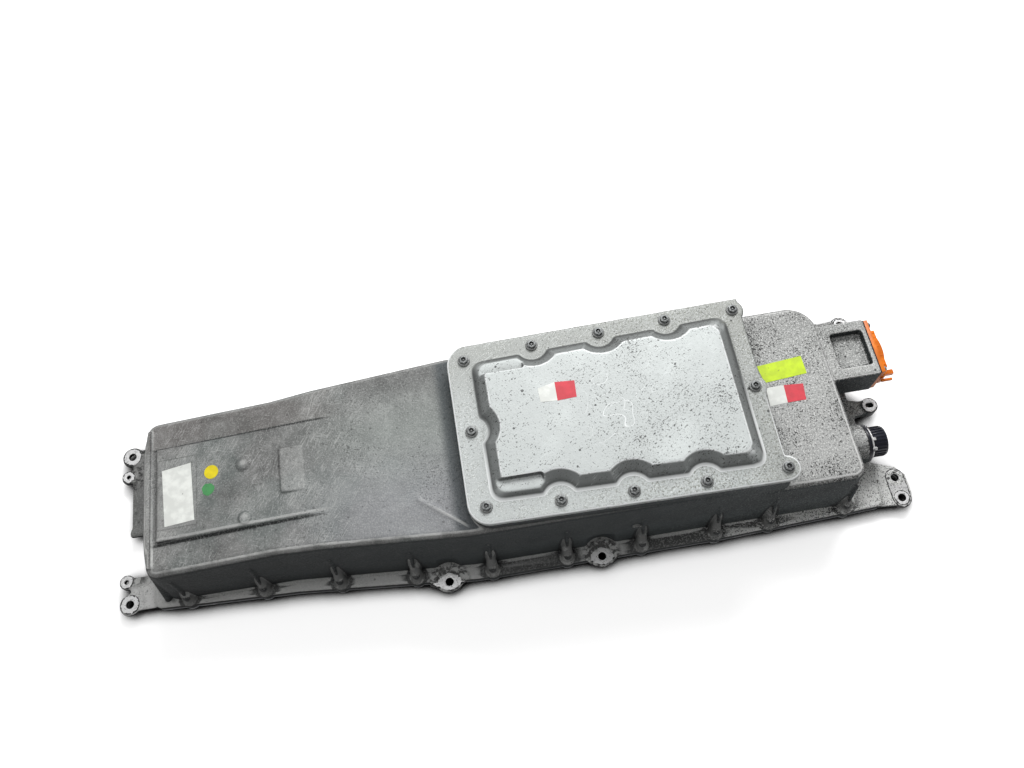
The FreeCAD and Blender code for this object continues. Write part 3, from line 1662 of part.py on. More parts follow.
def stepped_bar(name, start, line, foot_z, hole_at_start):
    """From a low level up to the first stud of a contactor."""
    y = (line - s.busbar_width / 2, line + s.busbar_width / 2)
    riser_x = (s.contactor_riser, s.contactor_riser + s.busbar_sheet)
    items = [
        block(name + "_foot", (start, riser_x[1]), y, foot_z),
        block(name + "_rise", riser_x, y, (foot_z[0], bar_top)),
        block(name + "_head", (riser_x[0], stud_lines[0] + bar_end), y, bar_z),
    ]
    holes = [rod(name + "_top_hole", stud_hole, s.busbar_sheet + 2.0, stud_lines[0], line, bar_bottom - 1.0)]
    if hole_at_start:
        x = start + bar_end
        holes.append(rod(name + "_foot_hole", stud_hole, s.busbar_sheet + 2.0, x, line, foot_z[0] - 1.0))
    return cut(name, fuse(name + "_bar", items), fuse(name + "_tools", holes))


def contactor(name, line):
    """A sealed relay block with two studs on its top and a barrier between them."""
    x = (s.contactor_line - s.contactor_length / 2, s.contactor_line + s.contactor_length / 2)
    y = (line - s.contactor_width / 2, line + s.contactor_width / 2)
    items = [block(name + "_case", x, y, (tray_top, bar_bottom))]
    wall = s.busbar_sheet / 2
    barrier_x = (s.contactor_line - wall, s.contactor_line + wall)
    items.append(block(name + "_barrier", barrier_x, y, (bar_bottom - 1.0, bar_top + s.nut_height)))
    for number, stud_x in enumerate(stud_lines):
        radius = s.stud_diameter / 2
        items.append(
            rod(
                "%s_stud_%d" % (name, number),
                radius,
                s.contactor_stud + 1.0,
                stud_x,
                line,
                bar_bottom - 1.0,
            ),
        )
    return fuse(name, items)


lug_hold = terminal_lug_end - 1.0 - s.screw_clearance


def output_busbar_positive():
    x = (stud_lines[1] - bar_end, lug_hold)
    bar = block("output_positive_bar", x, power_y, bar_z)
    hole = rod(
        "output_positive_hole",
        stud_hole,
        s.busbar_sheet + 2.0,
        stud_lines[1],
        s.power_line,
        bar_bottom - 1.0,
    )
    return cut("output_busbar_positive", bar, hole)


def output_busbar_negative():
    jog = (s.return_jog, s.return_jog + s.busbar_width)
    line = terminal_lines[0]
    end_y = (line - s.busbar_width / 2, line + s.busbar_width / 2)
    items = [
        block("output_negative_start", (stud_lines[1] - bar_end, jog[1]), return_y, bar_z),
        block("output_negative_jog", jog, (return_y[0], end_y[1]), bar_z),
        block("output_negative_end", (jog[0], lug_hold), end_y, bar_z),
    ]
    hole = rod(
        "output_negative_hole",
        stud_hole,
        s.busbar_sheet + 2.0,
        stud_lines[1],
        s.return_line,
        bar_bottom - 1.0,
    )
    return cut("output_busbar_negative", fuse("output_negative_bar", items), hole)


sensor_bar_bottom = tray_top + s.link_sheet
sensor_bar_z = (sensor_bar_bottom, sensor_bar_bottom + s.busbar_sheet)


def current_sensor():
    """A block with a closed slot that the return bar passes through."""
    x = (s.sensor_left, s.sensor_left + s.sensor_length)
    y = (s.return_line - s.sensor_half, s.return_line + s.sensor_half)
    body = block("sensor_body", x, y, (tray_top, tray_top + s.sensor_height))
    gap = s.sensor_slot_clearance
    slot_y = (return_y[0] - gap, return_y[1] + gap)
    slot_z = (sensor_bar_z[0] - gap, sensor_bar_z[1] + gap)
    slot = block("sensor_slot", (x[0] - 1.0, x[1] + 1.0), slot_y, slot_z)
    return cut("current_sensor", body, slot)


def precharge_resistor():
    x = (s.resistor_left, s.resistor_left + s.resistor_length)
    half = s.resistor_width / 2
    y = (s.precharge_line - half, s.precharge_line + half)
    body = block("resistor_body", x, y, (tray_top, tray_top + s.resistor_width))
    grooves = []
    pitch = s.resistor_length / 8
    for number in range(1, 8):
        middle = x[0] + number * pitch
        z = (tray_top + s.resistor_width * 0.7, tray_top + s.resistor_width + 1.0)
        grooves.append(
            block("resistor_groove_%d" % number, (middle - 1.0, middle + 1.0), (y[0] - 1.0, y[1] + 1.0), z),
        )
    return cut("precharge_resistor", body, fuse("resistor_grooves", grooves))


def precharge_relay():
    x = (s.relay_left, s.relay_left + s.relay_length)
    half = s.relay_width / 2
    y = (s.precharge_line - half, s.precharge_line + half)
    return block("precharge_relay", x, y, (tray_top, tray_top + s.relay_height))


def junction_tray():
    """The moulded floor of the junction area with the two posts that hold the fuse."""
    x = (s.tray_left, tray_right)
    items = [block("tray_floor", x, (-s.tray_half, s.tray_half), (floor, tray_top))]
    for number, lug_x in enumerate(fuse_lug_lines):
        height = s.fuse_seat - floor
        items.append(rod("tray_post_%d" % number, s.fuse_post_radius, height, lug_x, s.power_line, floor))
        radius = s.stud_diameter / 2
        height = fuse_top + s.contactor_stud - floor
        items.append(rod("tray_stud_%d" % number, radius, height, lug_x, s.power_line, floor))
    return fuse("junction_tray", items)


def busbar_nuts():
    """Nuts on the contactors' studs and on the fuse posts, on top of the bars they clamp."""
    spots = [(x, line, bar_top) for x in stud_lines for line in (s.power_line, s.return_line)]
    spots += [(x, s.power_line, fuse_top + s.busbar_sheet) for x in fuse_lug_lines]
    items = []
    for number, spot in enumerate(spots):
        nut = hexagon("nut_blank_%d" % number, s.nut_radius, s.nut_height, *spot)
        hole = rod(
            "nut_hole_%d" % number,
            s.stud_diameter / 2 + s.thread_fit,
            40.0,
            spot[0],
            spot[1],
            spot[2] - 1.0,
        )
        items.append(cut("nut_%d" % number, nut, hole))
    return compound("busbar_nuts", items)


# Control board on its bracket over the junction area

board_bottom = s.bracket_top + s.standoff


def board_bracket():
    x = (s.bracket_left, s.bracket_right)
    half = s.bracket_half
    foot = s.bracket_sheet
    items = [
        block("bracket_top_sheet", x, (-half, half), (s.bracket_top - foot, s.bracket_top)),
        block("bracket_leg_near", x, (-half, foot - half), (tray_top, s.bracket_top)),
        block("bracket_leg_far", x, (half - foot, half), (tray_top, s.bracket_top)),
    ]
    reach = s.board_half - s.board_margin
    edge = 2 * s.board_margin
    for number, corner_x in enumerate((s.bracket_left + edge, s.bracket_right - edge)):
        for side, sign, turn in SIDES:
            spot = (corner_x, sign * reach, s.bracket_top - 1.0)
            items.append(rod("standoff_%s_%d" % (side, number), s.standoff_radius, s.standoff + 1.0, *spot))
    return fuse("board_bracket", items)


def management_board():
    x = (s.bracket_left + s.board_margin, s.bracket_right - s.board_margin)
    top = board_bottom + s.board_sheet
    board = block("management_sheet", x, (-s.board_half, s.board_half), (board_bottom, top))
    middle = (x[0] + x[1]) / 2
    places = [(middle + j * s.board_half / 3, k * s.board_half / 2) for j in (-1, 1) for k in (-1, 0, 1)]
    items = chips("management_chip", places, s.board_half / 4, top, 2.0)
    plug_x = (x[1] - s.board_half / 4, x[1])
    plug = block(
        "management_plug",
        plug_x,
        (-s.board_half / 2, s.board_half / 2),
        (top - 0.5, top + s.relay_width / 2),
    )
    return fuse("management_board", [board, plug] + items)


left_plate_start = module_left - s.cell_gap - s.end_plate
nodes = [
    upper_housing(),
    service_cover(),
    service_cover_gasket(),
    service_cover_screws(),
    bottom_plate(),
    bottom_plate_gasket(),
    bottom_plate_screws(),
    hv_connector_header(),
    hv_connector_seal(),
    hv_connector_screws(),
    hv_terminal("hv_terminal_positive", terminal_lines[1]),
    hv_terminal("hv_terminal_negative", terminal_lines[0]),
    signal_connector_shell(),
    signal_connector_seal(),
    signal_connector_insert(),
    signal_contact_pins(),
    signal_connector_screws(),
    thermal_pad(),
    end_plate("end_plate_left", left_plate_start),
    end_plate("end_plate_right", module_end + s.cell_gap),
    side_band("side_band_front", -1),
    side_band("side_band_back", 1),
    link_carrier(),
    cell_links(),
    cell_monitor_board(),
    return_busbar(),
    module_busbar(),
    main_fuse(),
    stepped_bar(
        "fuse_busbar",
        fuse_lug_lines[1] - bar_end,
        s.power_line,
        (fuse_top, fuse_top + s.busbar_sheet),
        True,
    ),
    contactor("contactor_positive", s.power_line),
    contactor("contactor_negative", s.return_line),
    output_busbar_positive(),
    output_busbar_negative(),
    stepped_bar("sensor_busbar", s.return_riser + s.link_sheet, s.return_line, sensor_bar_z, False),
    current_sensor(),
    precharge_resistor(),
    precharge_relay(),
    board_bracket(),
    management_board(),
    junction_tray(),
    busbar_nuts(),
]
nodes += [cell(number) for number in range(int(sheet.cell_count))]

doc.recompute()
for item in doc.Objects:
    faults = [state for state in item.State if state in ("Invalid", "Error")]
    if faults:
        raise RuntimeError("%s is %s" % (item.Label, faults))
for item in nodes:
    if item.Shape.isNull() or not item.Shape.isValid():
        raise RuntimeError("%s has no valid shape" % item.Label)

os.makedirs("parts", exist_ok=True)
for item in nodes:
    item.Shape.exportStep("parts/%s.step" % item.Label)
    box = item.Shape.BoundBox
    size = (
        item.Label,
        len(item.Shape.Solids),
        box.XLength,
        box.YLength,
        box.ZLength,
        item.Shape.Volume / 1000.0,
    )
    print("%-26s %2d solids %7.1f %7.1f %7.1f mm  %9.2f cm3" % size)
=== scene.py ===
"""Looks of a hybrid car battery: softened castings, milled faces, screws, connectors, stickers, stage."""

import contextlib
import math
from functools import partial

import bmesh
import bpy
from bpy.props import FloatProperty, FloatVectorProperty, IntProperty, PointerProperty
from mathutils import Matrix, Vector


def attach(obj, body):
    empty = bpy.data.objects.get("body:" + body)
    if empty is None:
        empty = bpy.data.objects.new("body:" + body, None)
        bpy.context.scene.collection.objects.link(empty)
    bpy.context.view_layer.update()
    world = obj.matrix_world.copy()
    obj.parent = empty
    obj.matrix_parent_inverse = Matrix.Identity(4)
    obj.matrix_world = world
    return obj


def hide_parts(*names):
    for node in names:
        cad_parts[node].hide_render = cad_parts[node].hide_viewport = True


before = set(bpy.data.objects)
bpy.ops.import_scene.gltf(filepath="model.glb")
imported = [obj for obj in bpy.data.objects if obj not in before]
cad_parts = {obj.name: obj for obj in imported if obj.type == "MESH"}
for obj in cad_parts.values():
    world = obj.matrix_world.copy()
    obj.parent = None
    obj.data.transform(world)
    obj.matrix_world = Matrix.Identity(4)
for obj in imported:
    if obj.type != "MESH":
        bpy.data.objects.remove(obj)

bl_info = {
    "name": "Hybrid car battery looks",
    "version": (1, 0, 0),
    "blender": (4, 5, 0),
    "location": "3D View > Sidebar > Battery",
    "description": "Finishes the cast housing, cover, connectors and screws of a hybrid car battery",
    "category": "Object",
}

# Places and heights in the frame, in metres

BODY = "root"
# x, y and radius
LEFT_EARS = [(-0.412, -0.083, 0.0105), (-0.412, 0.083, 0.0105)]
RIGHT_EARS = [(0.411, -0.1065, 0.0086), (0.411, 0.1065, 0.0086)]
# x and y
MIDDLE_EARS = [(-0.079, -0.115), (-0.079, 0.115), (0.083, -0.115), (0.083, 0.115)]
SMALL_EARS = [(-0.4155, -0.059), (-0.4155, 0.059)]
# x and the y of both holes
TWIN_EAR = (0.411, 0.0835, 0.1065)
AXIS_EAR = 0.4085
EAR_BOTTOM = 0.0075
EAR_TOP = 0.0131
SMALL_EAR_TOP = 0.0141
SMALL_EAR_RADIUS = 0.0074
AXIS_EAR_TOP = 0.0206
LONG_WALL = 0.080
LABEL_FRAME = ((-0.352, -0.038), (-0.311, 0.036))
LABEL_FIELD = ((-0.3512, -0.0372), (-0.3118, 0.0352))
CAST_PATCH = ((-0.226, -0.022), (-0.202, 0.0245))
ROOF_PANEL = ((-0.357, -0.056), (-0.160, 0.056))
PANEL_EDGE = -0.0475
ROUND_MARKS = [(-0.263, -0.041), (-0.263, 0.0155)]
COVER_RIM = 0.1290
HEADER_MIDDLE, HEADER_BOTTOM, HEADER_TOP = 0.040, 0.0530, 0.0801
SIGNAL_AXIS = Vector((0.0, -0.048, 0.0375))
SIGNAL_RIBS = 28

# Sizes of worked details, in metres

RIB_FOOT, RIB_TIP = 0.0068, 0.0036
MILLED_GRID = 0.0006
MILLED_RIM = 0.0034
MILLED_PROUD = 0.00012
SCREW_HEIGHT = 0.0046
SCREW_FLANGE = 0.0016
PATCH_START = 0.20
PATCH_GAP = 0.00006
MILLIMETRE = 0.001

# Triangles that are left after thinning out

HOUSING_TRIANGLES = 190000
COVER_TRIANGLES = 110000


# Sizes and colours


def screen_colour(name, description, default):
    """A colour setting."""
    return FloatVectorProperty(
        name=name, description=description, default=default, min=0.0, max=1.0, size=3, subtype="COLOR_GAMMA"
    )


def length(name, description, default):
    """A length setting, in metres."""
    return FloatProperty(
        name=name, description=description, default=default, min=0.0, unit="LENGTH", subtype="DISTANCE"
    )


def whole_number(name, description, default):
    """A whole number setting."""
    return IntProperty(name=name, description=description, default=default, min=0)


class BatterySizes(bpy.types.PropertyGroup):
    """Sizes of the details that the looks add."""

    casting_grain: length("Casting grid", "Grid on which the housing's edges are softened", 0.0013)
    flange_top: length("Flange top", "Height of the flange's upper face", 0.0155)
    fin_width: length("Rib web", "Thickness of the webs under the leaning ribs", 0.0042)
    fin_height: length("Rib height", "Height of the leaning ribs above the flange", 0.036)
    fin_lean: length("Rib lean", "How far a rib leans in to the wall", 0.0112)
    casting_rounds: whole_number("Casting rounds", "Rounds of softening on the housing", 3)
    cover_grain: length("Cover grid", "Grid on which the cover's edges are softened", 0.0009)
    cover_rounds: whole_number("Cover rounds", "Rounds of softening on the cover", 14)
    flange_radius: length("Screw flange radius", "Radius of a cover screw's flange", 0.0062)
    head_radius: length("Screw head radius", "Corner radius of a cover screw's head", 0.0046)
    socket_radius: length("Screw socket radius", "Radius of the recess in a cover screw", 0.0026)
    bore_radius: length("Bolt hole radius", "Radius of the bored hole in a large ear", 0.0042)
    small_bore_radius: length("Small hole radius", "Radius of the bored hole in a small ear", 0.0024)
    sticker_thickness: length("Sticker thickness", "Thickness of the labels and stickers", 0.00018)
    rib_height: length("Connector ribs", "How far the ribs stand out on the connectors", 0.0009)


class BatteryColours(bpy.types.PropertyGroup):
    """Colours as they are seen on a screen."""

    casting: screen_colour("Casting", "Housing where it faces up", (0.495, 0.497, 0.492))
    # The walls' dark tone is partly their own colour and partly painted shade.
    casting_dark: screen_colour("Casting walls", "Housing on its steep walls", (0.205, 0.222, 0.225))
    cover: screen_colour("Cover", "Service cover", (0.80, 0.82, 0.815))
    machined: screen_colour("Machined", "Faces milled bright", (0.90, 0.90, 0.90))
    fleck: screen_colour("Fleck", "Dirt flecks", (0.09, 0.085, 0.08))
    screw: screen_colour("Screw", "Dark plated screws", (0.47, 0.48, 0.48))
    orange: screen_colour("Orange", "High voltage connector", (0.98, 0.50, 0.08))
    navy: screen_colour("Navy", "Round connector", (0.075, 0.085, 0.14))
    paper: screen_colour("Paper", "White label", (0.93, 0.94, 0.92))
    red: screen_colour("Red", "Red field of the stickers", (0.86, 0.22, 0.28))
    lime: screen_colour("Lime", "Yellow-green label", (0.80, 0.92, 0.0))
    yellow: screen_colour("Yellow", "Round dot", (0.93, 0.85, 0.03))
    green: screen_colour("Green", "Dab of paint", (0.29, 0.60, 0.35))


def scene_values(context):
    """The scene's sizes and colours."""
    return context.scene.battery_sizes, context.scene.battery_colours


def linear(colour):
    """The linear values, with alpha, of a colour that is given as it is seen on a screen."""
    parts = [part / 12.92 if part <= 0.04045 else ((part + 0.055) / 1.055) ** 2.4 for part in colour]
    return (*parts, 1.0)


def shade_of(colour, factor):
    """The same colour, lighter or darker."""
    return tuple(min(part * factor, 1.0) for part in colour)


# Shader nodes


class Wire:
    """A node's output that takes part in plain arithmetic."""

    def __init__(self, finish, socket):
        self.finish = finish
        self.socket = socket

    def math(self, operation, *values):
        """A Math node on values, wires or both."""
        return self.finish.node("ShaderNodeMath", {"operation": operation}, dict(enumerate(values)))

    def __add__(self, other):
        return self.math("ADD", self, other)

    __radd__ = __add__

    def __sub__(self, other):
        return self.math("SUBTRACT", self, other)

    def __rsub__(self, other):
        return self.math("SUBTRACT", other, self)

    def __mul__(self, other):
        return self.math("MULTIPLY", self, other)

    __rmul__ = __mul__

    def __or__(self, other):
        return self.math("MAXIMUM", self, other)

    __ror__ = __or__


class Finish:
    """A material, the colour that is laid on it and the nodes of its pattern."""

    def __init__(self, name, metallic=0.0, roughness=0.5):
        self.material = bpy.data.materials.new(name)
        self.material.use_nodes = True
        self.tree = self.material.node_tree
        self.shader = self.tree.nodes["Principled BSDF"]
        self.surface("Metallic", metallic)
        self.surface("Roughness", roughness)
        self.place = self.node("ShaderNodeTexCoord", output="Object")
        self.colour = None

    def node(self, kind, settings=None, inputs=None, output=0):
        """Adds a node, makes its settings, then feeds its sockets with values or links."""
        made = self.tree.nodes.new(kind)
        for key, value in (settings or {}).items():
            setattr(made, key, value)
        for key, value in (inputs or {}).items():
            self.feed(made.inputs[key], value)
        return Wire(self, made.outputs[output])

    def feed(self, socket, value):
        if isinstance(value, Wire):
            self.tree.links.new(value.socket, socket)
        else:
            socket.default_value = value

    def surface(self, name, value):
        """Feeds one of the surface's own sockets."""
        self.feed(self.shader.inputs[name], value)

    def vector(self, operation, first, second, output=0):
        return self.node("ShaderNodeVectorMath", {"operation": operation}, {0: first, 1: second}, output)

    def turned(self, angle, stretch):
        """Object coordinates turned about the vertical, then stretched, for patterns with a direction."""
        settings = {"rotation_type": "Z_AXIS"}
        turned = self.node("ShaderNodeVectorRotate", settings, {"Vector": self.place, "Angle": angle})
        return self.vector("MULTIPLY", turned, stretch)

    def noise(self, scale, detail=2.0, at=None, roughness=0.55):
        inputs = {"Vector": at or self.place, "Scale": scale, "Detail": detail, "Roughness": roughness}
        return self.node("ShaderNodeTexNoise", {}, inputs)

    def cells(self, scale):
        return self.node("ShaderNodeTexVoronoi", {}, {"Vector": self.place, "Scale": scale})

    def painted(self, name):
        """The values of one of the piece's own attributes."""
        return self.node("ShaderNodeAttribute", {"attribute_name": name}, output="Fac")

    def band(self, value, low, high):
        """0 below low, 1 above high, with a soft step between them."""
        settings = {"interpolation_type": "SMOOTHSTEP"}
        inputs = {"Value": value, "From Min": low, "From Max": high, "To Min": 0.0, "To Max": 1.0}
        return self.node("ShaderNodeMapRange", settings, inputs)

    def fade(self, value, low, high):
        """1 below low, 0 above high."""
        return 1.0 - self.band(value, low, high)

    def along(self, axis):
        """One of the object's coordinates."""
        return self.node("ShaderNodeSeparateXYZ", {}, {"Vector": self.place}, output=axis)

    def facing(self, axis):
        """One part of the direction that the surface faces."""
        normal = self.node("ShaderNodeTexCoord", output="Normal")
        return self.node("ShaderNodeSeparateXYZ", {}, {"Vector": normal}, output=axis)

    def blend(self, mask, first, second):
        """The first colour where the mask is 0, the second where it is 1."""
        colours = [value if isinstance(value, Wire) else linear(value) for value in (first, second)]
        inputs = {0: mask, 6: colours[0], 7: colours[1]}
        return self.node("ShaderNodeMix", {"data_type": "RGBA"}, inputs, output=2)

    def mottle(self, tone, value, low, high, darker, lighter):
        """Starts the colour: the tone made darker where the value is low, lighter where it is high."""
        self.colour = self.blend(self.band(value, low, high), shade_of(tone, darker), shade_of(tone, lighter))

    def coat(self, mask, colour):
        """Lays a colour over what is there, as thick as the mask says."""
        self.colour = self.blend(mask, self.colour, colour)

    def crevice(self, reach):
        """1 deep in corners, 0 on open faces."""
        settings = {"samples": 6, "only_local": True}
        return 1.0 - self.node("ShaderNodeAmbientOcclusion", settings, {"Distance": reach}, output="AO")

    def close_to(self, value, target, half_width):
        """1 where a value is near its target."""
        offset = (value - target).math("ABSOLUTE", value - target)
        return self.fade(offset, 0.5 * half_width, 1.5 * half_width)

    def inside(self, low, high, soft=0.0006):
        """1 inside a rectangle, seen from above, in metres."""
        x, y = self.along("X"), self.along("Y")
        across = self.band(x, low[0] - soft, low[0] + soft) * self.fade(x, high[0] - soft, high[0] + soft)
        across = across * self.band(y, low[1] - soft, low[1] + soft)
        return across * self.fade(y, high[1] - soft, high[1] + soft)

    def around(self, x, y, inner, outer):
        """1 within the inner distance of an upright line, 0 beyond the outer one."""
        flat = self.vector("MULTIPLY", self.place, (1.0, 1.0, 0.0))
        return self.fade(self.vector("DISTANCE", flat, (x, y, 0.0), "Value"), inner, outer)

    def flecks(self, scale, share):
        """Small uneven flecks of dirt; a larger share gives more of them."""
        body = self.noise(scale, 2.5, roughness=0.6)
        group = self.noise(scale * 0.09, 2.0)
        return self.band(body + 0.16 * group, 0.80 - share, 0.815 - share)

    def scratches(self, angle, scale, share):
        """Fine straight scratches in one direction."""
        line = self.noise(1.0, 2.0, self.turned(-angle, (scale * 0.07, scale, scale * 0.05)))
        patch = self.noise(22.0, 2.0)
        return self.band(line + 0.4 * patch, 0.80 - share, 0.86 - share)

    def relief(self, height, depth):
        """Bumps of the given depth in metres."""
        normal = self.node("ShaderNodeBump", {}, {"Height": height, "Distance": depth, "Strength": 1.0})
        self.surface("Normal", normal)

    def done(self, roughness=None):
        """The material, with its colour and its roughness in place."""
        self.surface("Base Color", self.colour)
        if roughness is not None:
            self.surface("Roughness", roughness)
        return self.material


# Finishes of the metal pieces


def cast_finish(colours):
    """Die cast housing: a rubbed roof, painted highlights on its rounded edges, dark walls that are partly
    painted shade, painted shade in corners, pepper towards the right.
    """
    finish = Finish("cast_aluminium", metallic=0.15, roughness=0.5)
    finish.surface("Specular IOR Level", 0.24)
    band, fade, coat, noise = finish.band, finish.fade, finish.coat, finish.noise
    tint, deep = partial(shade_of, colours.casting), partial(shade_of, colours.casting_dark)
    x, y, z = finish.along("X"), finish.along("Y"), finish.along("Z")
    rise = finish.facing("Z")
    cloud = noise(48.0, 5.0, roughness=0.65)
    left = fade(x, -0.24, -0.02)
    right = band(x, 0.10, 0.30)
    finish.mottle(colours.casting, noise(7.0, 5.0), 0.36, 0.62, 0.84, 1.02)
    coat(0.45 * band(cloud, 0.50, 0.66), tint(1.28))
    coat(0.55 * fade(cloud, 0.36, 0.47), tint(0.66))
    cool = band(noise(9.0, 3.0), 0.48, 0.62)
    coat(0.50 * cool * fade(x, 0.05, 0.12), (0.375, 0.415, 0.405))
    roof = band(rise, 0.86, 0.95)
    far_strip = band(y, 0.047, 0.052) * fade(x, -0.19, -0.15) * roof
    coat(0.40 * far_strip, (0.45, 0.425, 0.415))
    lit = band(x, -0.26, -0.11) * fade(y, 0.02, 0.10)
    pale = finish.blend(band(y, -0.06, 0.03), (0.632, 0.641, 0.656), (0.618, 0.643, 0.628))
    coat(0.72 * lit * roof * (0.75 + 0.5 * (cloud - 0.5)), pale)
    shade_strip = band(x, -0.066, -0.054) * fade(x, -0.040, -0.030) * band(y, -0.108, -0.090)
    coat(0.75 * shade_strip * roof, (0.27, 0.30, 0.315))
    far_side = band(y, 0.025, 0.090)
    coat(0.85 * right * roof * (1.0 - 0.5 * far_side), tint(1.42))
    # scratches and rubbed patches on the left half of the roof
    patch = band(noise(17.0, 3.0), 0.46, 0.64)
    hair = noise(1.0, 3.0, finish.turned(-0.9, (90.0, 1500.0, 90.0)))
    rubbed = patch * (0.35 + 0.65 * band(hair, 0.42, 0.66))
    coat(0.50 * left * rubbed * roof, tint(1.50))
    scored = finish.scratches(0.95, 1000.0, -0.035) | finish.scratches(1.25, 1200.0, -0.045)
    scored = scored | finish.scratches(-0.35, 900.0, -0.075)
    coat(0.30 * left * scored * roof, tint(1.70))
    # marks cast into the roof
    label_field = finish.inside(*LABEL_FIELD) * roof
    # painted shade: a dark line round the edge of the label's recess
    coat(0.5 * (finish.inside(*LABEL_FRAME) * roof - label_field), tint(0.45))
    coat(0.15 * label_field, tint(1.3))
    coat(0.28 * (finish.inside(*CAST_PATCH) * roof), tint(1.45))
    for mark_x, mark_y in ROUND_MARKS:
        # painted shade on the sloping side of each round mark and a painted highlight near its top
        ring = finish.around(mark_x, mark_y, 0.0065, 0.0078) - finish.around(mark_x, mark_y, 0.0050, 0.0062)
        coat(0.5 * ring * roof, tint(0.55))
        coat(0.45 * finish.around(mark_x + 0.0005, mark_y + 0.001, 0.001, 0.0045), tint(1.6))
    # dark walls that are partly painted shade, the flange, the leaning ribs and painted highlights on the
    # round edges
    steep = fade(rise, 0.28, 0.66)
    # painted shade on the steep walls: darker to the left, lighter to the right
    wall = finish.blend(band(x, -0.46, 0.30), deep(0.52), deep(1.34))
    wall = finish.blend(0.35 * band(cloud, 0.44, 0.64), wall, deep(1.25))
    # darker towards the top of the walls
    wall = finish.blend(0.40 * band(z, 0.040, 0.066), wall, deep(0.55))
    coat(steep, wall)
    low = fade(z, 0.0150, 0.0200) * (1.0 - steep)
    # painted light: the flange on the near side, in the housing's shadow, is made lighter, most of all to the
    # right
    shaded = fade(y, -0.06, 0.02)
    coat(0.8 * low, finish.blend(shaded * (0.6 + 0.4 * right), tint(0.90), tint(1.80)))
    # painted shade: a dark band along the foot of the walls, by the floor
    coat(0.8 * steep * fade(z, 0.011, 0.014), deep(0.25))
    rib = finish.painted("rib")
    # painted shade round each leaning rib, then the rib's own tone and painted highlights in patches on it
    coat(0.85 * band(rib, 0.08, 0.30), deep(0.5))
    coat(band(rib, 0.62, 0.80), tint(0.95))
    coat(0.6 * (band(rib, 0.62, 0.80) * band(cloud, 0.52, 0.60)), tint(1.6))
    outer = 1.0 - finish.inside(*ROOF_PANEL, 0.003)
    near = 0.25 + 0.75 * fade(y, -0.02, 0.06)
    rim = band(z, 0.068, 0.076) * outer * near
    # painted highlights on the rounded edges of the roof, stronger on the near side
    wear_and_highlight = band(rise, 0.44, 0.80) * fade(rise, 0.93, 0.972) * (0.4 + 0.6 * band(cloud, 0.30, 0.60))
    coat(0.50 * (wear_and_highlight * rim), tint(1.30))
    crest = band(rise, 0.78, 0.88) * fade(rise, 0.940, 0.968) * rim
    coat(0.70 * crest * (0.35 + 0.65 * band(cloud, 0.34, 0.62)), tint(1.75))
    # painted shade along the feet of the panel's edges and a painted highlight on the near bead's top
    panel = band(x, -0.362, -0.354) * band(rise, 0.2, 0.5)
    far_line = finish.close_to(y, 0.0500, 0.0011) * fade(x, -0.186, -0.170)
    near_line = finish.close_to(y, -0.0512, 0.0013) * fade(x, -0.200, -0.176)
    coat(0.85 * panel * (far_line | near_line), deep(0.62))
    near_crest = finish.close_to(y, -0.0468, 0.0014) * fade(x, -0.192, -0.172)
    coat(0.5 * panel * near_crest, tint(1.55))
    # painted shade in corners, in hollows and along the end bead, then dirt and a rubbed plate round the ears
    dirt_and_crevice_shade = band(finish.crevice(0.006) + 0.30 * (cloud - 0.5), 0.14, 0.42)
    coat(0.85 * dirt_and_crevice_shade, deep(0.45))
    hollow = band(finish.crevice(0.030) + 0.10 * (cloud - 0.5), 0.08, 0.50) * band(z, 0.018, 0.030)
    coat(0.65 * hollow, deep(0.9))
    end_line = finish.close_to(x, -0.3597, 0.0010) * roof * band(y, -0.080, -0.072) * fade(y, 0.072, 0.080)
    end_line = end_line | (finish.close_to(x, -0.3682, 0.0012) * band(z, 0.06, 0.07))
    coat(0.75 * end_line, deep(0.6))
    ends = finish.around(*MIDDLE_EARS[0], 0.019, 0.024)
    for ear_x, ear_y in MIDDLE_EARS[1:] + [ear[:2] for ear in LEFT_EARS] + SMALL_EARS:
        ends = ends | finish.around(ear_x, ear_y, 0.017, 0.023)
    smear = band(noise(190.0, 4.0), 0.44, 0.56) * fade(z, 0.0165, 0.022)
    rubbed_end = fade(x, -0.392, -0.376) * finish.inside((-0.43, -0.105), (-0.37, -0.062), 0.006) * low
    coat(0.80 * rubbed_end, (0.86, 0.86, 0.855))
    coat(0.80 * ends * smear * (1.0 - 0.8 * rubbed_end), (0.10, 0.10, 0.10))
    # pepper, denser to the right
    group = 0.30 * noise(24.0, 3.0)
    pepper = band(noise(820.0, 2.5, roughness=0.6) + group + 0.062 * right, 0.795, 0.820)
    coarse = band(noise(260.0, 3.5) + group + 0.045 * right, 0.850, 0.865)
    coat((pepper | coarse) * (0.40 + 0.50 * right) * (1.0 - 0.6 * steep), colours.fleck)
    spot = fade(finish.cells(75.0) + 0.25 * cloud, 0.195, 0.225) * (0.45 + 0.55 * band(x, -0.05, 0.16))
    coat(0.9 * spot * (1.0 - steep), (0.08, 0.08, 0.08))
    # painted glints, more of them to the right
    sparkle = band(noise(620.0, 2.5) - 0.5 * pepper, 0.50, 0.62) * (0.20 + 0.70 * right)
    coat(0.60 * (sparkle * (1.0 - 0.8 * steep) * (1.0 - 0.7 * shade_strip)), tint(1.90))
    # painted highlights on the crease and the crests, over everything
    fold = finish.close_to(0.618 * x + 0.786 * y, -0.0985, 0.0013) * band(x, -0.096, -0.060)
    coat(0.50 * (fold * fade(x, -0.052, -0.046) * roof), tint(1.60))
    coat(0.75 * crest * right, (0.93, 0.93, 0.925))
    finish.relief(noise(950.0, 2.0) + 1.6 * noise(230.0, 3.0) - 0.6 * pepper, 0.00034)
    return finish.done(0.42 + 0.20 * cloud + 0.2 * steep)


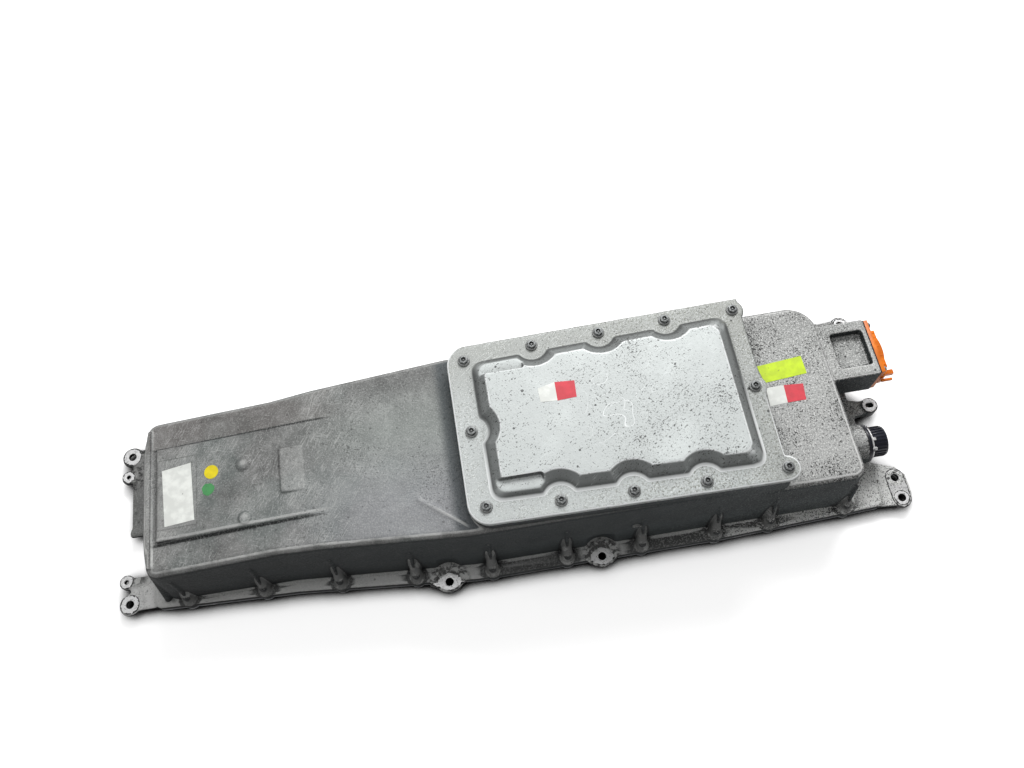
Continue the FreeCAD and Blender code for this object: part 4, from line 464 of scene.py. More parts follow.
def cover_finish(colours):
    """Light cast cover with dark flecks of dirt and a dirtier rim; painted shade on its far and right rim, on
    the walls and foot of its raised middle, on its outer edge and in corners; painted highlights and glints.
    """
    finish = Finish("cover_aluminium", metallic=0.15, roughness=0.45)
    band, fade, coat, noise = finish.band, finish.fade, finish.coat, finish.noise
    tint = partial(shade_of, colours.cover)
    x, y, height, rise = finish.along("X"), finish.along("Y"), finish.along("Z"), finish.facing("Z")
    cloud = noise(90.0, 5.0, roughness=0.65)
    flat = band(rise, 0.93, 0.98)
    finish.mottle(colours.cover, noise(11.0, 4.0), 0.40, 0.62, 0.965, 1.03)
    right = band(x, 0.02, 0.17)
    rim = fade(height, 0.1295, 0.1330)
    coat(rim, tint(0.92))
    # painted shade on the rim's far side and its right end
    coat(0.60 * rim * band(y, 0.010, 0.085), (0.56, 0.565, 0.545))
    coat(0.45 * rim * band(x, 0.215, 0.250), (0.56, 0.565, 0.545))
    olive = band(noise(420.0, 3.0), 0.50, 0.60)
    dirty = 0.12 + 0.45 * right + 0.25 * band(cloud, 0.46, 0.62)
    coat(rim * dirty * olive, (0.46, 0.47, 0.43))
    # painted shade on the walls of the raised middle, darkest at their foot
    slope = fade(rise, 0.76, 0.97) * band(height, 0.1265, COVER_RIM)
    coat(0.85 * slope, tint(0.54))
    foot = fade(height, COVER_RIM, 0.1345) * slope
    coat(0.80 * foot, tint(0.34))
    # painted shade in corners
    dirt_and_crevice_shade = band(finish.crevice(0.016) + 0.22 * (cloud - 0.5), 0.05, 0.34)
    coat(0.75 * dirt_and_crevice_shade, tint(0.36))
    # painted highlight along the crests of the raised middle
    crest = band(rise, 0.78, 0.90) * fade(rise, 0.965, 0.995) * band(height, 0.1350, 0.1370)
    coat(0.85 * crest * (0.5 + 0.5 * band(cloud, 0.36, 0.54)), (0.97, 0.98, 0.98))
    # painted shade on the steep outer edge of the cover
    edge = fade(rise, 0.10, 0.50) * fade(height, 0.1265, COVER_RIM)
    coat(0.55 * edge, tint(0.62))
    # flecks
    group = 0.20 * noise(26.0, 3.0) + 0.010 * right + 0.026 - 0.040 * rim
    turned = noise(1.0, 3.0, finish.turned(-0.5, (300.0, 620.0, 400.0)), roughness=0.6)
    cross = noise(1.0, 3.0, finish.turned(0.9, (340.0, 640.0, 400.0)), roughness=0.6)
    dark = band(turned + group, 0.775, 0.79) | band(cross + group, 0.785, 0.80)
    coat(0.9 * dark, colours.fleck)
    fine = band(noise(760.0, 2.5) + group + 0.05 * rim + 0.02 * right, 0.785, 0.81)
    coat(0.6 * fine, shade_of(colours.fleck, 2.6))
    spot = fade(finish.cells(58.0) + 0.25 * cloud, 0.175, 0.205)
    coat(0.85 * spot * flat, (0.12, 0.12, 0.12))
    # painted glints on the flat rim
    glitter = band(noise(880.0, 3.0), 0.53, 0.62) * rim * flat * (0.35 + 0.65 * band(cloud, 0.4, 0.6))
    coat(0.50 * glitter, (0.97, 0.98, 0.97))
    shine = band(rise, 0.40, 0.66) * fade(rise, 0.965, 0.992) * fade(height, 0.1296, 0.1312)
    lit_side = fade(y, -0.05, 0.03) | fade(x, -0.040, -0.030)
    coat(0.85 * shine * lit_side, (0.97, 0.98, 0.98))
    # pale scuffs near the middle
    scuffed = finish.inside((0.085, -0.038), (0.150, 0.030), 0.012)
    curl = noise(26.0, 1.0)
    stroke = finish.close_to(curl, 0.50, 0.0035) | finish.close_to(noise(33.0, 1.0), 0.47, 0.003)
    coat(0.6 * scuffed * stroke, (0.97, 0.98, 0.98))
    coat(0.3 * finish.scratches(0.6, 900.0, -0.06), tint(1.15))
    finish.relief(noise(1000.0, 2.0) + noise(240.0, 3.0), 0.00016)
    return finish.done(0.40 + 0.2 * cloud + 0.15 * slope)


def machined_finish(name, tone, colours, dirt):
    """Milled face with a ragged dark rim and bores painted dark as shade; both come from the piece's own
    attribute.
    """
    finish = Finish(name, metallic=0.2, roughness=0.35)
    rim = finish.painted("rim")
    # the ragged dark rim, and painted shade on the bore walls
    dark_rim_and_bore_shade = finish.band(rim + 1.5 * finish.noise(330.0, 4.0), 1.34, 1.46)
    mark = finish.band(finish.noise(210.0, 4.0), 0.56, 0.64)
    finish.colour = tone
    finish.coat(0.45 * mark, shade_of(tone, 0.70))
    pepper = finish.band(finish.noise(640.0, 2.5), 0.62 - dirt, 0.66 - dirt)
    finish.coat(0.75 * pepper, shade_of(colours.casting_dark, 0.8))
    finish.coat(0.95 * dark_rim_and_bore_shade, (0.07, 0.07, 0.07))
    finish.relief(finish.noise(700.0, 2.0), 0.00008)
    return finish.done(0.34 + 0.3 * dark_rim_and_bore_shade)


def screw_finish(colours):
    """Dark plated steel with bright rubbed spots, painted highlights on its sloping faces and painted shade
    in its recesses.
    """
    finish = Finish("screw_steel", metallic=0.5, roughness=0.42)
    cloud = finish.noise(600.0, 3.0)
    wear_and_highlight = finish.band(finish.noise(900.0, 2.0), 0.60, 0.70)
    finish.mottle(colours.screw, cloud, 0.35, 0.65, 0.75, 1.25)
    finish.coat(0.6 * wear_and_highlight, (0.62, 0.62, 0.61))
    # painted highlight on the sloping faces
    ledge = finish.band(finish.facing("Z"), 0.2, 0.6) * finish.fade(finish.facing("Z"), 0.90, 0.97)
    finish.coat(0.6 * ledge, (0.66, 0.66, 0.65))
    # painted shade in the recesses
    finish.coat(0.85 * finish.band(finish.crevice(0.0030), 0.16, 0.42), (0.07, 0.07, 0.07))
    finish.relief(cloud, 0.0001)
    return finish.done(0.38 + 0.25 * cloud)


def plate_finish(colours):
    """Pressed bottom plate: dull rolled sheet with dried splashes and long scuffs."""
    finish = Finish("plate_metal", metallic=0.45, roughness=0.5)
    tone = (0.56, 0.565, 0.57)
    cloud = finish.noise(13.0, 5.0)
    rolled = finish.noise(1.0, 2.0, finish.turned(0.0, (6.0, 420.0, 420.0)))
    finish.mottle(tone, cloud, 0.38, 0.64, 0.84, 1.08)
    finish.coat(0.3 * finish.band(rolled, 0.42, 0.62), shade_of(tone, 1.16))
    splash = finish.fade(finish.cells(26.0), 0.10, 0.16) * finish.band(finish.noise(5.0), 0.5, 0.6)
    finish.coat(0.4 * splash, (0.40, 0.37, 0.33))
    scuff = finish.scratches(0.08, 240.0, 0.0)
    finish.coat(0.55 * scuff, (0.74, 0.74, 0.74))
    finish.coat(0.6 * finish.flecks(420.0, -0.01), colours.fleck)
    finish.relief(rolled + finish.noise(300.0, 2.0), 0.00008)
    return finish.done(0.42 + 0.25 * cloud)


def sheet_finish(name, tone, metallic, grain, roughness):
    """Rolled or drawn metal whose grain runs along the pack."""
    finish = Finish(name, metallic=metallic, roughness=roughness)
    rolled = finish.noise(1.0, 3.0, finish.turned(0.0, (grain * 0.03, grain, grain)))
    cloud = finish.noise(45.0, 4.0)
    finish.mottle(tone, rolled, 0.36, 0.64, 0.90, 1.06)
    finish.coat(0.35 * finish.band(cloud, 0.54, 0.70), shade_of(tone, 0.78))
    finish.relief(rolled, 0.00004)
    return finish.done(roughness - 0.05 + 0.2 * cloud)


# Finishes of the other pieces


def moulded_finish(name, tone, grain, roughness, dust):
    """Moulded plastic or rubber with a fine grain and a little dust."""
    finish = Finish(name, roughness=roughness)
    cloud = finish.noise(60.0, 4.0)
    finish.mottle(tone, cloud, 0.38, 0.66, 0.88, 1.08)
    dusty = finish.band(finish.noise(grain * 0.5, 4.0), 0.58, 0.74)
    finish.coat(dust * dusty, (0.62, 0.60, 0.57))
    finish.relief(finish.noise(grain, 2.0), 0.00007)
    return finish.done(roughness - 0.08 + 0.16 * cloud)


def board_finish():
    """Lacquered circuit board with lighter tracks and small soldered spots."""
    finish = Finish("board_green", roughness=0.3)
    colours = {"Color1": (0, 0, 0, 1), "Color2": (0, 0, 0, 1), "Mortar": (1, 1, 1, 1)}
    inputs = {"Vector": finish.place, "Scale": 42.0, "Mortar Size": 0.035, **colours}
    track = finish.node("ShaderNodeTexBrick", {"offset": 0.37}, inputs, output="Fac")
    solder = finish.fade(finish.cells(260.0), 0.16, 0.22)
    finish.colour = (0.06, 0.34, 0.17)
    finish.coat(0.5 * track, (0.12, 0.48, 0.25))
    finish.coat(solder, (0.72, 0.70, 0.64))
    finish.relief(0.5 * track + solder, 0.00006)
    return finish.done(0.34 - 0.12 * solder)


def pad_finish():
    """Soft filled pad with tiny pores."""
    finish = Finish("pad_grey", roughness=0.75)
    pore = finish.fade(finish.cells(900.0), 0.15, 0.30)
    finish.colour = (0.60, 0.63, 0.67)
    finish.coat(finish.band(finish.noise(30.0, 3.0), 0.4, 0.6), (0.66, 0.69, 0.72))
    finish.coat(0.5 * pore, (0.42, 0.45, 0.49))
    finish.relief(1.0 - pore, 0.0001)
    return finish.done(0.7 + 0.1 * pore)


def sticker_finish(name, tone, dirt):
    """Printed film, a little creased and dirty, with no print on it."""
    finish = Finish(name, roughness=0.4)
    cloud = finish.noise(90.0, 4.0)
    finish.mottle(tone, cloud, 0.40, 0.66, 0.95, 1.03)
    dirt_and_crevice_shade = finish.flecks(380.0, dirt)
    finish.coat(0.55 * dirt_and_crevice_shade, (0.24, 0.23, 0.21))
    finish.relief(finish.noise(140.0, 3.0), 0.0001)
    return finish.done(0.36 + 0.15 * cloud)


# Modelling helpers


@contextlib.contextmanager
def editing(piece, start="DESELECT"):
    """Edit mode on one piece, with none of its faces selected, or all of them if start is SELECT."""
    only(piece)
    bpy.ops.object.mode_set(mode="EDIT")
    bpy.ops.mesh.select_mode(type="FACE")
    bpy.ops.mesh.select_all(action=start)
    yield bmesh.from_edit_mesh(piece.data)
    bpy.ops.object.mode_set(mode="OBJECT")


def only(piece):
    """Selects one piece and makes it the active one."""
    bpy.ops.object.select_all(action="DESELECT")
    piece.select_set(True)
    bpy.context.view_layer.objects.active = piece


def pick(mesh, test):
    """Selects the faces whose middle and normal pass the test."""
    bpy.ops.mesh.select_all(action="DESELECT")
    for face in mesh.faces:
        if test(face.calc_center_median(), face.normal):
            face.select_set(True)
    mesh.select_flush_mode()


def pick_top(mesh):
    """Selects the faces that face up."""
    pick(mesh, lambda centre, normal: normal.z > 0.9)


def stretch(piece, size, middle):
    """Resizes a whole piece about a point."""
    with editing(piece, "SELECT"):
        bpy.ops.transform.resize(value=size, center_override=middle)


def shape(piece, kind, **settings):
    """Adds a modifier and applies it."""
    only(piece)
    modifier = piece.modifiers.new(kind.lower(), kind)
    for key, value in settings.items():
        setattr(modifier, key, value)
    bpy.ops.object.modifier_apply(modifier=modifier.name)


def settle(piece):
    """Moves a piece's place into its mesh."""
    only(piece)
    bpy.ops.object.transform_apply(location=True, rotation=True, scale=True)


def smooth(piece, degrees=40):
    """Smooth shading, except at edges that turn by more than the angle."""
    only(piece)
    bpy.ops.object.shade_smooth_by_angle(angle=math.radians(degrees))


def round_edges(piece, width, degrees=40):
    """Rounds the edges that turn by more than the angle."""
    shape(piece, "BEVEL", width=width, segments=2, limit_method="ANGLE", angle_limit=math.radians(degrees))


def soften(piece, grid, rounds):
    """Builds a piece's surface anew on a grid and softens it."""
    shape(piece, "REMESH", mode="VOXEL", voxel_size=grid)
    shape(piece, "SMOOTH", factor=0.5, iterations=rounds)


def merged_copy(source, name):
    """A copy of a node's mesh as one joined surface."""
    piece = bpy.data.objects.new(name, source.data.copy())
    bpy.context.scene.collection.objects.link(piece)
    with editing(piece, "SELECT"):
        bpy.ops.mesh.remove_doubles(threshold=0.00001)
        bpy.ops.mesh.customdata_custom_splitnormals_clear()
    piece.data.materials.clear()
    return piece


def duplicate(piece, name, offset):
    """A copy with a mesh of its own, moved by the offset."""
    made = bpy.data.objects.new(name, piece.data.copy())
    bpy.context.scene.collection.objects.link(made)
    made.location = offset
    settle(made)
    return made


def join(pieces, name):
    """Makes one object of several."""
    only(pieces[0])
    for piece in pieces:
        piece.select_set(True)
    bpy.ops.object.join()
    pieces[0].name = name
    pieces[0].data.name = name
    return pieces[0]


def thin_out(piece, wanted):
    """Merges faces on the flatter parts until about the wanted number of triangles is left."""
    piece.data.calc_loop_triangles()
    share = wanted / len(piece.data.loop_triangles)
    if share < 1.0:
        shape(piece, "DECIMATE", ratio=share)


def solid_boxes(node):
    """The lowest and highest corners of each separate solid of a node."""
    whole = merged_copy(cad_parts[node], node + "_parts")
    with editing(whole, "SELECT"):
        bpy.ops.mesh.separate(type="LOOSE")
    boxes = []
    for part in list(bpy.context.selected_objects):
        boxes.append((Vector(map(min, *part.bound_box)), Vector(map(max, *part.bound_box))))
        bpy.data.objects.remove(part)
    return sorted(boxes, key=lambda box: (round(box[0].x, 4), box[0].y))


def primitive(kind, name, location, **sizes):
    """One of Blender's primitives, at its place, ready to be shaped."""
    bpy.ops.object.select_all(action="DESELECT")
    getattr(bpy.ops.mesh, "primitive_%s_add" % kind)(location=location, **sizes)
    piece = bpy.context.active_object
    piece.name = name
    piece.data.name = name
    settle(piece)
    return piece


def disc(name, x, y, bottom, top, radius, vertices=64):
    """An upright disc or cylinder between two heights."""
    middle = (x, y, (bottom + top) / 2)
    return primitive("cylinder", name, middle, vertices=vertices, radius=radius, depth=top - bottom)


def slab(name, middle, size):
    """A plain box."""
    piece = primitive("cube", name, middle, size=1.0)
    stretch(piece, size, middle)
    return piece


def bar(name, low, high, edge):
    """A small bar between two corners, with rounded edges and a slightly narrower outer end."""
    low, high = Vector(low), Vector(high)
    piece = slab(name, (low + high) / 2, high - low)
    with editing(piece) as mesh:
        pick(mesh, lambda centre, normal: normal.x > 0.9)
        bpy.ops.transform.resize(value=(1.0, 0.92, 0.92))
    round_edges(piece, edge)
    smooth(piece)
    return piece


def place_piece(piece, material, slot, *nodes):
    """Gives a finished piece its material and its body, and hides the nodes that it stands for."""
    piece.data.materials.clear()
    piece.data.materials.append(material)
    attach(piece, BODY)
    if nodes:
        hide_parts(*nodes)


# The castings


def wall_fin(sizes, x, y, side):
    """A thumb that leans from a screw pad against the wall behind it, with a web under it."""
    middle = sizes.flange_top + sizes.fin_height / 2
    lean = side * sizes.fin_lean
    cone = {"vertices": 24, "radius1": RIB_FOOT, "radius2": RIB_TIP, "depth": sizes.fin_height}
    thumb = primitive("cone", "fin_thumb", (x, y, middle), **cone)
    with editing(thumb) as mesh:
        pick_top(mesh)
        bpy.ops.transform.translate(value=(0.0, -lean, 0.0))
    web = slab("fin_web", (x, y - lean / 2, middle), (sizes.fin_width, abs(lean), sizes.fin_height))
    with editing(web) as mesh:
        pick_top(mesh)
        bpy.ops.transform.resize(value=(0.8, 0.2, 1.0), center_override=(x, y - lean, middle))
    return [thumb, web]


def rib_places():
    """The places of the leaning ribs, one behind each screw along the long walls, and their sides."""
    places = []
    for low, high in solid_boxes("bottom_plate_screws"):
        middle = (low + high) / 2
        if abs(middle.y) > LONG_WALL:
            places.append((middle.x, middle.y, 1.0 if middle.y > 0.0 else -1.0))
    return places


def mark_ribs(piece, sizes, places):
    """Marks each leaning rib, 1 on it and falling to 0 beyond its foot, for the finish."""
    marks = piece.data.attributes.new("rib", "FLOAT", "POINT")
    for vertex in piece.data.vertices:
        x, y, z = vertex.co
        share = (z - sizes.flange_top) / sizes.fin_height
        if -0.05 < share < 1.05 and abs(y) > LONG_WALL:
            reach = RIB_FOOT + (RIB_TIP - RIB_FOOT) * share
            for rib_x, rib_y, side in places:
                if abs(x - rib_x) < 0.012 and y * side > 0.0:
                    away = math.hypot(x - rib_x, y - rib_y + side * sizes.fin_lean * share)
                    marks.data[vertex.index].value = min(max(1.9 - away / reach, 0.0), 1.0)


def roof_height(surface, x, y):
    """The height at which a line from above meets the surface."""
    hit, place, *_ = surface.ray_cast((x, y, 0.3), (0.0, 0.0, -1.0))
    if not hit:
        raise RuntimeError("no roof at %g, %g" % (x, y))
    return place.z


def roof_bead(name, surface, points, radius, rise, slim_end=1.0):
    """A round bead along points given in plan; rise is how far its top stands above the roof."""
    curve = bpy.data.curves.new(name, "CURVE")
    curve.dimensions = "3D"
    curve.bevel_depth = radius
    curve.bevel_resolution = 4
    curve.use_fill_caps = True
    line = curve.splines.new("NURBS")
    line.points.add(len(points) - 1)
    for point, (x, y) in zip(line.points, points):
        point.co = (x, y, roof_height(surface, x, y) + rise - radius, 1.0)
    line.order_u = 3
    line.use_endpoint_u = True
    line.points[-1].radius = slim_end
    piece = bpy.data.objects.new(name, curve)
    bpy.context.scene.collection.objects.link(piece)
    only(piece)
    bpy.ops.object.convert(target="MESH")
    return bpy.context.active_object


def roof_marks(surface):
    """Beads and round marks on the sloping part of the roof."""
    end_bead = [(-0.3705, -0.0850), (-0.3660, -0.0790), (-0.3640, -0.0700), (-0.3640, 0.0)]
    end_bead += [(x, -y) for x, y in reversed(end_bead[:-1])]
    panel_edge = [(x, PANEL_EDGE) for x in (-0.3545, -0.300, -0.240, -0.1900, -0.1740)]
    crease = [(-0.094, -0.052), (-0.075, -0.066), (-0.052, -0.085)]
    marks = [
        roof_bead("end_bead", surface, end_bead, radius=0.0034, rise=0.0028),
        roof_bead("panel_edge", surface, panel_edge, radius=0.0032, rise=0.0016, slim_end=0.15),
        roof_bead("crease", surface, crease, radius=0.0040, rise=0.0012),
    ]
    cone = {"vertices": 32, "radius1": 0.0070, "radius2": 0.0056, "depth": 0.0024}
    for x, y in ROUND_MARKS:
        marks.append(primitive("cone", "round_mark", (x, y, roof_height(surface, x, y)), **cone))
    return marks


class BATTERY_OT_housing(bpy.types.Operator):
    """Softens the cast housing and adds its leaning ribs and roof marks"""

    bl_idname = "battery.housing"
    bl_label = "Cast housing"

    def execute(self, context):
        sizes, colours = scene_values(context)
        casting = merged_copy(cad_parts["upper_housing"], "housing_casting")
        places = rib_places()
        ribs = [part for x, y, side in places for part in wall_fin(sizes, x, y, side)]
        piece = join([casting, *roof_marks(casting), *ribs], "housing_casting")
        soften(piece, sizes.casting_grain, sizes.casting_rounds)
        thin_out(piece, HOUSING_TRIANGLES)
        mark_ribs(piece, sizes, places)
        smooth(piece, 60)
        place_piece(piece, cast_finish(colours), "cast_aluminium", "upper_housing")
        return {"FINISHED"}


class BATTERY_OT_cover(bpy.types.Operator):
    """Softens the pressed-up middle and the rim of the service cover"""

    bl_idname = "battery.cover"
    bl_label = "Service cover"

    def execute(self, context):
        sizes, colours = scene_values(context)
        piece = merged_copy(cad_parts["service_cover"], "cover_casting")
        soften(piece, sizes.cover_grain, sizes.cover_rounds)
        thin_out(piece, COVER_TRIANGLES)
        smooth(piece, 60)
        place_piece(piece, cover_finish(colours), "cover_aluminium", "service_cover")
        return {"FINISHED"}


# Machined faces on the ears


def cut_with(piece, tool):
    """Cuts one piece out of another."""
    shape(piece, "BOOLEAN", object=tool, operation="DIFFERENCE", solver="EXACT")
    bpy.data.objects.remove(tool)


def milled(piece, top, bores, outline_depth):
    """Bores a face, softens its edges and marks its dark rim and the painted shade of its bore walls;
    outline_depth says how far in a place lies.
    """
    shape(piece, "REMESH", mode="VOXEL", voxel_size=MILLED_GRID)
    for x, y, radius in bores:
        cut_with(piece, disc("bore", x, y, 0.0, 0.03, radius, vertices=48))
    soften(piece, MILLED_GRID, 2)
    rim = piece.data.attributes.new("rim", "FLOAT", "POINT")
    for vertex in piece.data.vertices:
        x, y, z = vertex.co
        in_bore = any(math.hypot(x - bx, y - by) < radius + 0.0004 for bx, by, radius in bores)
        # bore walls below the top get 1, painted shade inside the hole
        value = 1.0 if in_bore and z < top - 0.0008 else 1.0 - outline_depth(x, y) / MILLED_RIM
        rim.data[vertex.index].value = min(max(value, 0.0), 1.0)
    smooth(piece, 50)
    return piece


def round_face(name, x, y, bottom, top, outer, inner):
    """A milled ring round a hole."""
    piece = disc(name, x, y, bottom, top, outer)
    return milled(piece, top, [(x, y, inner)], lambda px, py: outer - math.hypot(px - x, py - y))


def winged_face(name, x, y, bottom, top, inner):
    """The milled face of a middle ear: round at the hole, drawn out to both sides, cut straight outside."""
    side = 1.0 if y > 0.0 else -1.0
    radius, reach, height, straight = 0.0124, 0.0215, 0.0102, 0.0100
    wing = disc("wing", x, y, bottom, top, 1.0, vertices=4)
    stretch(wing, (reach, height, 1.0), (x, y, top))
    piece = join([disc(name, x, y, bottom, top, radius), wing], name)
    cut_with(piece, slab("outside", (x, y + side * (straight + 0.02), top), (0.06, 0.04, 0.04)))

    def outline_depth(px, py):
        diamond = (1.0 - abs(px - x) / reach - abs(py - y) / height) * height * 0.9
        inward = max(radius - math.hypot(px - x, py - y), diamond)
        return min(inward, straight - side * (py - y))

    return milled(piece, top, [(x, y, inner)], outline_depth)


def twin_face(name, x, y_inner, y_outer, bottom, top, radius, inner):
    """The milled face over the two holes of a right ear."""
    middle = (x, (y_inner + y_outer) / 2, (bottom + top) / 2)
    bridge = slab("bridge", middle, (2 * radius, abs(y_outer - y_inner), top - bottom))
    ends = [disc(name, x, y, bottom, top, radius) for y in (y_inner, y_outer)]
    piece = join([*ends, bridge], name)
    low, high = sorted((y_inner, y_outer))

    def outline_depth(px, py):
        return radius - math.hypot(px - x, py - min(max(py, low), high))

    return milled(piece, top, [(x, y_inner, inner), (x, y_outer, inner)], outline_depth)


def slotted_face(name, x, bottom, top, outer, half_width, reach):
    """The milled face round the slot of the ear on the axis."""
    piece = disc(name, x, 0.0, bottom, top, outer)
    bores = [(x + share * reach, 0.0, half_width) for share in (-1.0, -0.5, 0.0, 0.5, 1.0)]
    return milled(piece, top, bores, lambda px, py: outer - math.hypot(px - x, py))


class BATTERY_OT_ears(bpy.types.Operator):
    """Adds the milled faces and bores of the mounting ears"""

    bl_idname = "battery.ears"
    bl_label = "Machined ears"

    def execute(self, context):
        sizes, colours = scene_values(context)
        bright = machined_finish("milled_bright", colours.machined, colours, dirt=-0.02)
        peppered = machined_finish("milled_peppered", shade_of(colours.machined, 0.94), colours, dirt=0.03)
        bottom, top = EAR_BOTTOM + MILLED_PROUD, EAR_TOP + MILLED_PROUD
        faces = []
        for number, (x, y, radius) in enumerate(LEFT_EARS + RIGHT_EARS):
            faces.append(round_face("ear_face_%02d" % number, x, y, bottom, top, radius, sizes.bore_radius))
        for number, (x, y) in enumerate(MIDDLE_EARS):
            faces.append(winged_face("middle_face_%02d" % number, x, y, bottom, top, sizes.bore_radius))
        small = (bottom, SMALL_EAR_TOP, SMALL_EAR_RADIUS, sizes.small_bore_radius)
        for number, (x, y) in enumerate(SMALL_EARS):
            faces.append(round_face("small_face_%02d" % number, x, y, *small))
        slot = {"outer": 0.0090, "half_width": 0.0027, "reach": 0.0018}
        faces.append(slotted_face("axis_face", AXIS_EAR, bottom, AXIS_EAR_TOP, **slot))
        for face in faces:
            place_piece(face, bright, "cast_aluminium")
        x, y_inner, y_outer = TWIN_EAR
        for number, side in enumerate((-1.0, 1.0)):
            heights = (bottom, EAR_TOP - 0.0003)
            ends = (side * y_inner, side * y_outer)
            twin = twin_face("twin_face_%02d" % number, x, *ends, *heights, radius=0.0105, inner=0.0042)
            place_piece(twin, peppered, "cast_aluminium")
        return {"FINISHED"}


# Screws


def cover_screw(sizes, top, seat):
    """One flanged screw with a hexagon head and a round recess, its axis at the origin."""
    flange = disc("screw_flange", 0, 0, seat, seat + SCREW_FLANGE, sizes.flange_radius, vertices=40)
    with editing(flange) as mesh:
        pick_top(mesh)
        bpy.ops.mesh.inset(thickness=sizes.flange_radius * 0.22, depth=0.0)
        bpy.ops.transform.translate(value=(0, 0, 0.0005))
    head = disc("screw_head", 0, 0, seat, top, sizes.head_radius, vertices=6)
    round_edges(head, 0.0004, 30)
    with editing(head) as mesh:
        pick(mesh, lambda centre, normal: normal.z > 0.9 and centre.xy.length < 0.0005)
        rim = sizes.head_radius * 0.84 - sizes.socket_radius
        for thickness, depth in ((rim, 0.0), (0.0003, -0.0016), (0.0011, 0.0), (0.0002, 0.0008)):
            bpy.ops.mesh.inset(thickness=thickness, depth=depth)
    round_edges(flange, 0.0004)
    screw = join([flange, head], "cover_screw")
    smooth(screw)
    return screw


class BATTERY_OT_screws(bpy.types.Operator):
    """Models one cover screw and copies it to every place"""

    bl_idname = "battery.screws"
    bl_label = "Cover screws"

    def execute(self, context):
        sizes, colours = scene_values(context)
        material = screw_finish(colours)
        boxes = solid_boxes("service_cover_screws")
        top = boxes[0][1].z
        model = cover_screw(sizes, top, top - SCREW_HEIGHT)
        for number, (low, high) in enumerate(boxes):
            middle = (low + high) / 2
            screw = duplicate(model, "cover_screw_%02d" % (number + 1), (middle.x, middle.y, 0.0))
            place_piece(screw, material, "screw_steel", "service_cover_screws")
        bpy.data.objects.remove(model)
        return {"FINISHED"}


# Connectors


def softened_copy(node, name, width):
    """A node's mesh with flat faces joined and small rounded edges."""
    piece = merged_copy(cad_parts[node], name)
    with editing(piece, "SELECT"):
        bpy.ops.mesh.dissolve_limited(angle_limit=math.radians(1.0))
    round_edges(piece, width, 35)
    smooth(piece)
    return piece


def header_band():
    """The curved band that stands out over the header's top."""
    x = 0.3985
    band = disc("header_band", x, HEADER_MIDDLE, bottom=0.0775, top=0.0806, radius=0.0325, vertices=96)
    stretch(band, (0.53, 0.90, 1.0), (x, HEADER_MIDDLE, 0.079))
    with editing(band, "SELECT"):
        plane = {"plane_co": (0.4062, 0.0, 0.0), "plane_no": (1.0, 0.0, 0.0)}
        bpy.ops.mesh.bisect(**plane, clear_inner=True, use_fill=True)
    round_edges(band, 0.0006)
    return band


def spoke(name, low, high, edge, turn):
    """A bar that is given as it stands over the round connector's axis, then turned about that axis."""
    piece = bar(name, low, high, edge)
    piece.data.transform(Matrix.Translation(SIGNAL_AXIS) @ Matrix.Rotation(turn, 4, "X"))
    return piece


class BATTERY_OT_power_connector(bpy.types.Operator):
    """Adds the orange high voltage connector with its ribs, band and finger bars"""

    bl_idname = "battery.power_connector"
    bl_label = "High voltage connector"

    def execute(self, context):
        sizes, colours = scene_values(context)
        material = moulded_finish("orange_plastic", colours.orange, grain=1200.0, roughness=0.42, dust=0.12)
        parts = [softened_copy("hv_connector_header", "power_header", 0.0004)]
        upper = (HEADER_TOP - 0.0011, HEADER_TOP + sizes.rib_height)
        lower = (HEADER_BOTTOM - sizes.rib_height, HEADER_BOTTOM + 0.0010)
        root, tip, half, first, pitch = 0.4055, 0.4132, 0.0007, HEADER_MIDDLE - 0.0192, 0.0055
        for number in range(8):
            y = first + number * pitch
            for low, high in (upper, lower):
                parts.append(bar("rib", (root, y - half, low), (tip, y + half, high), edge=0.0003))
        parts.append(header_band())
        parts.append(bar("finger", (0.4060, 0.0085, 0.0600), (0.4100, 0.0140, 0.0800), edge=0.0008))
        parts.append(bar("finger", (0.4060, 0.0050, 0.0700), (0.4180, 0.0080, 0.0735), edge=0.0008))
        piece = join(parts, "power_header")
        smooth(piece)
        place_piece(piece, material, "orange_plastic", "hv_connector_header")
        return {"FINISHED"}


class BATTERY_OT_signal_connector(bpy.types.Operator):
    """Adds the round connector with its ribs, collar and tabs"""

    bl_idname = "battery.signal_connector"
    bl_label = "Round connector"

    def execute(self, context):
        sizes, colours = scene_values(context)
        material = moulded_finish("black_plastic", colours.navy, grain=1200.0, roughness=0.35, dust=0.10)
        parts = [softened_copy("signal_connector_shell", "signal_shell", 0.0003)]
        rib = ((0.3835, -0.0005, 0.0152), (0.3985, 0.0005, 0.0155 + sizes.rib_height), 0.0002)
        parts += [spoke("rib", *rib, 2 * math.pi * number / SIGNAL_RIBS) for number in range(SIGNAL_RIBS)]
        place_piece(join(parts, "signal_shell"), material, "black_plastic", "signal_connector_shell")
        torus = {"major_radius": 0.0172, "minor_radius": 0.0010, "major_segments": 64, "minor_segments": 12}
        place = SIGNAL_AXIS + Vector((0.3832, 0.0, 0.0))
        tabs = [primitive("torus", "collar", place, rotation=(0.0, math.pi / 2, 0.0), **torus)]
        tab = ((0.3825, -0.0016, 0.0160), (0.3868, 0.0016, 0.0184), 0.0004)
        tabs += [spoke("tab", *tab, turn) for turn in (0.15, 0.75)]
        ring = join(tabs, "signal_collar")
        smooth(ring)
        place_piece(ring, bpy.data.materials["milled_bright"], "contact_metal")
        return {"FINISHED"}


# Stickers


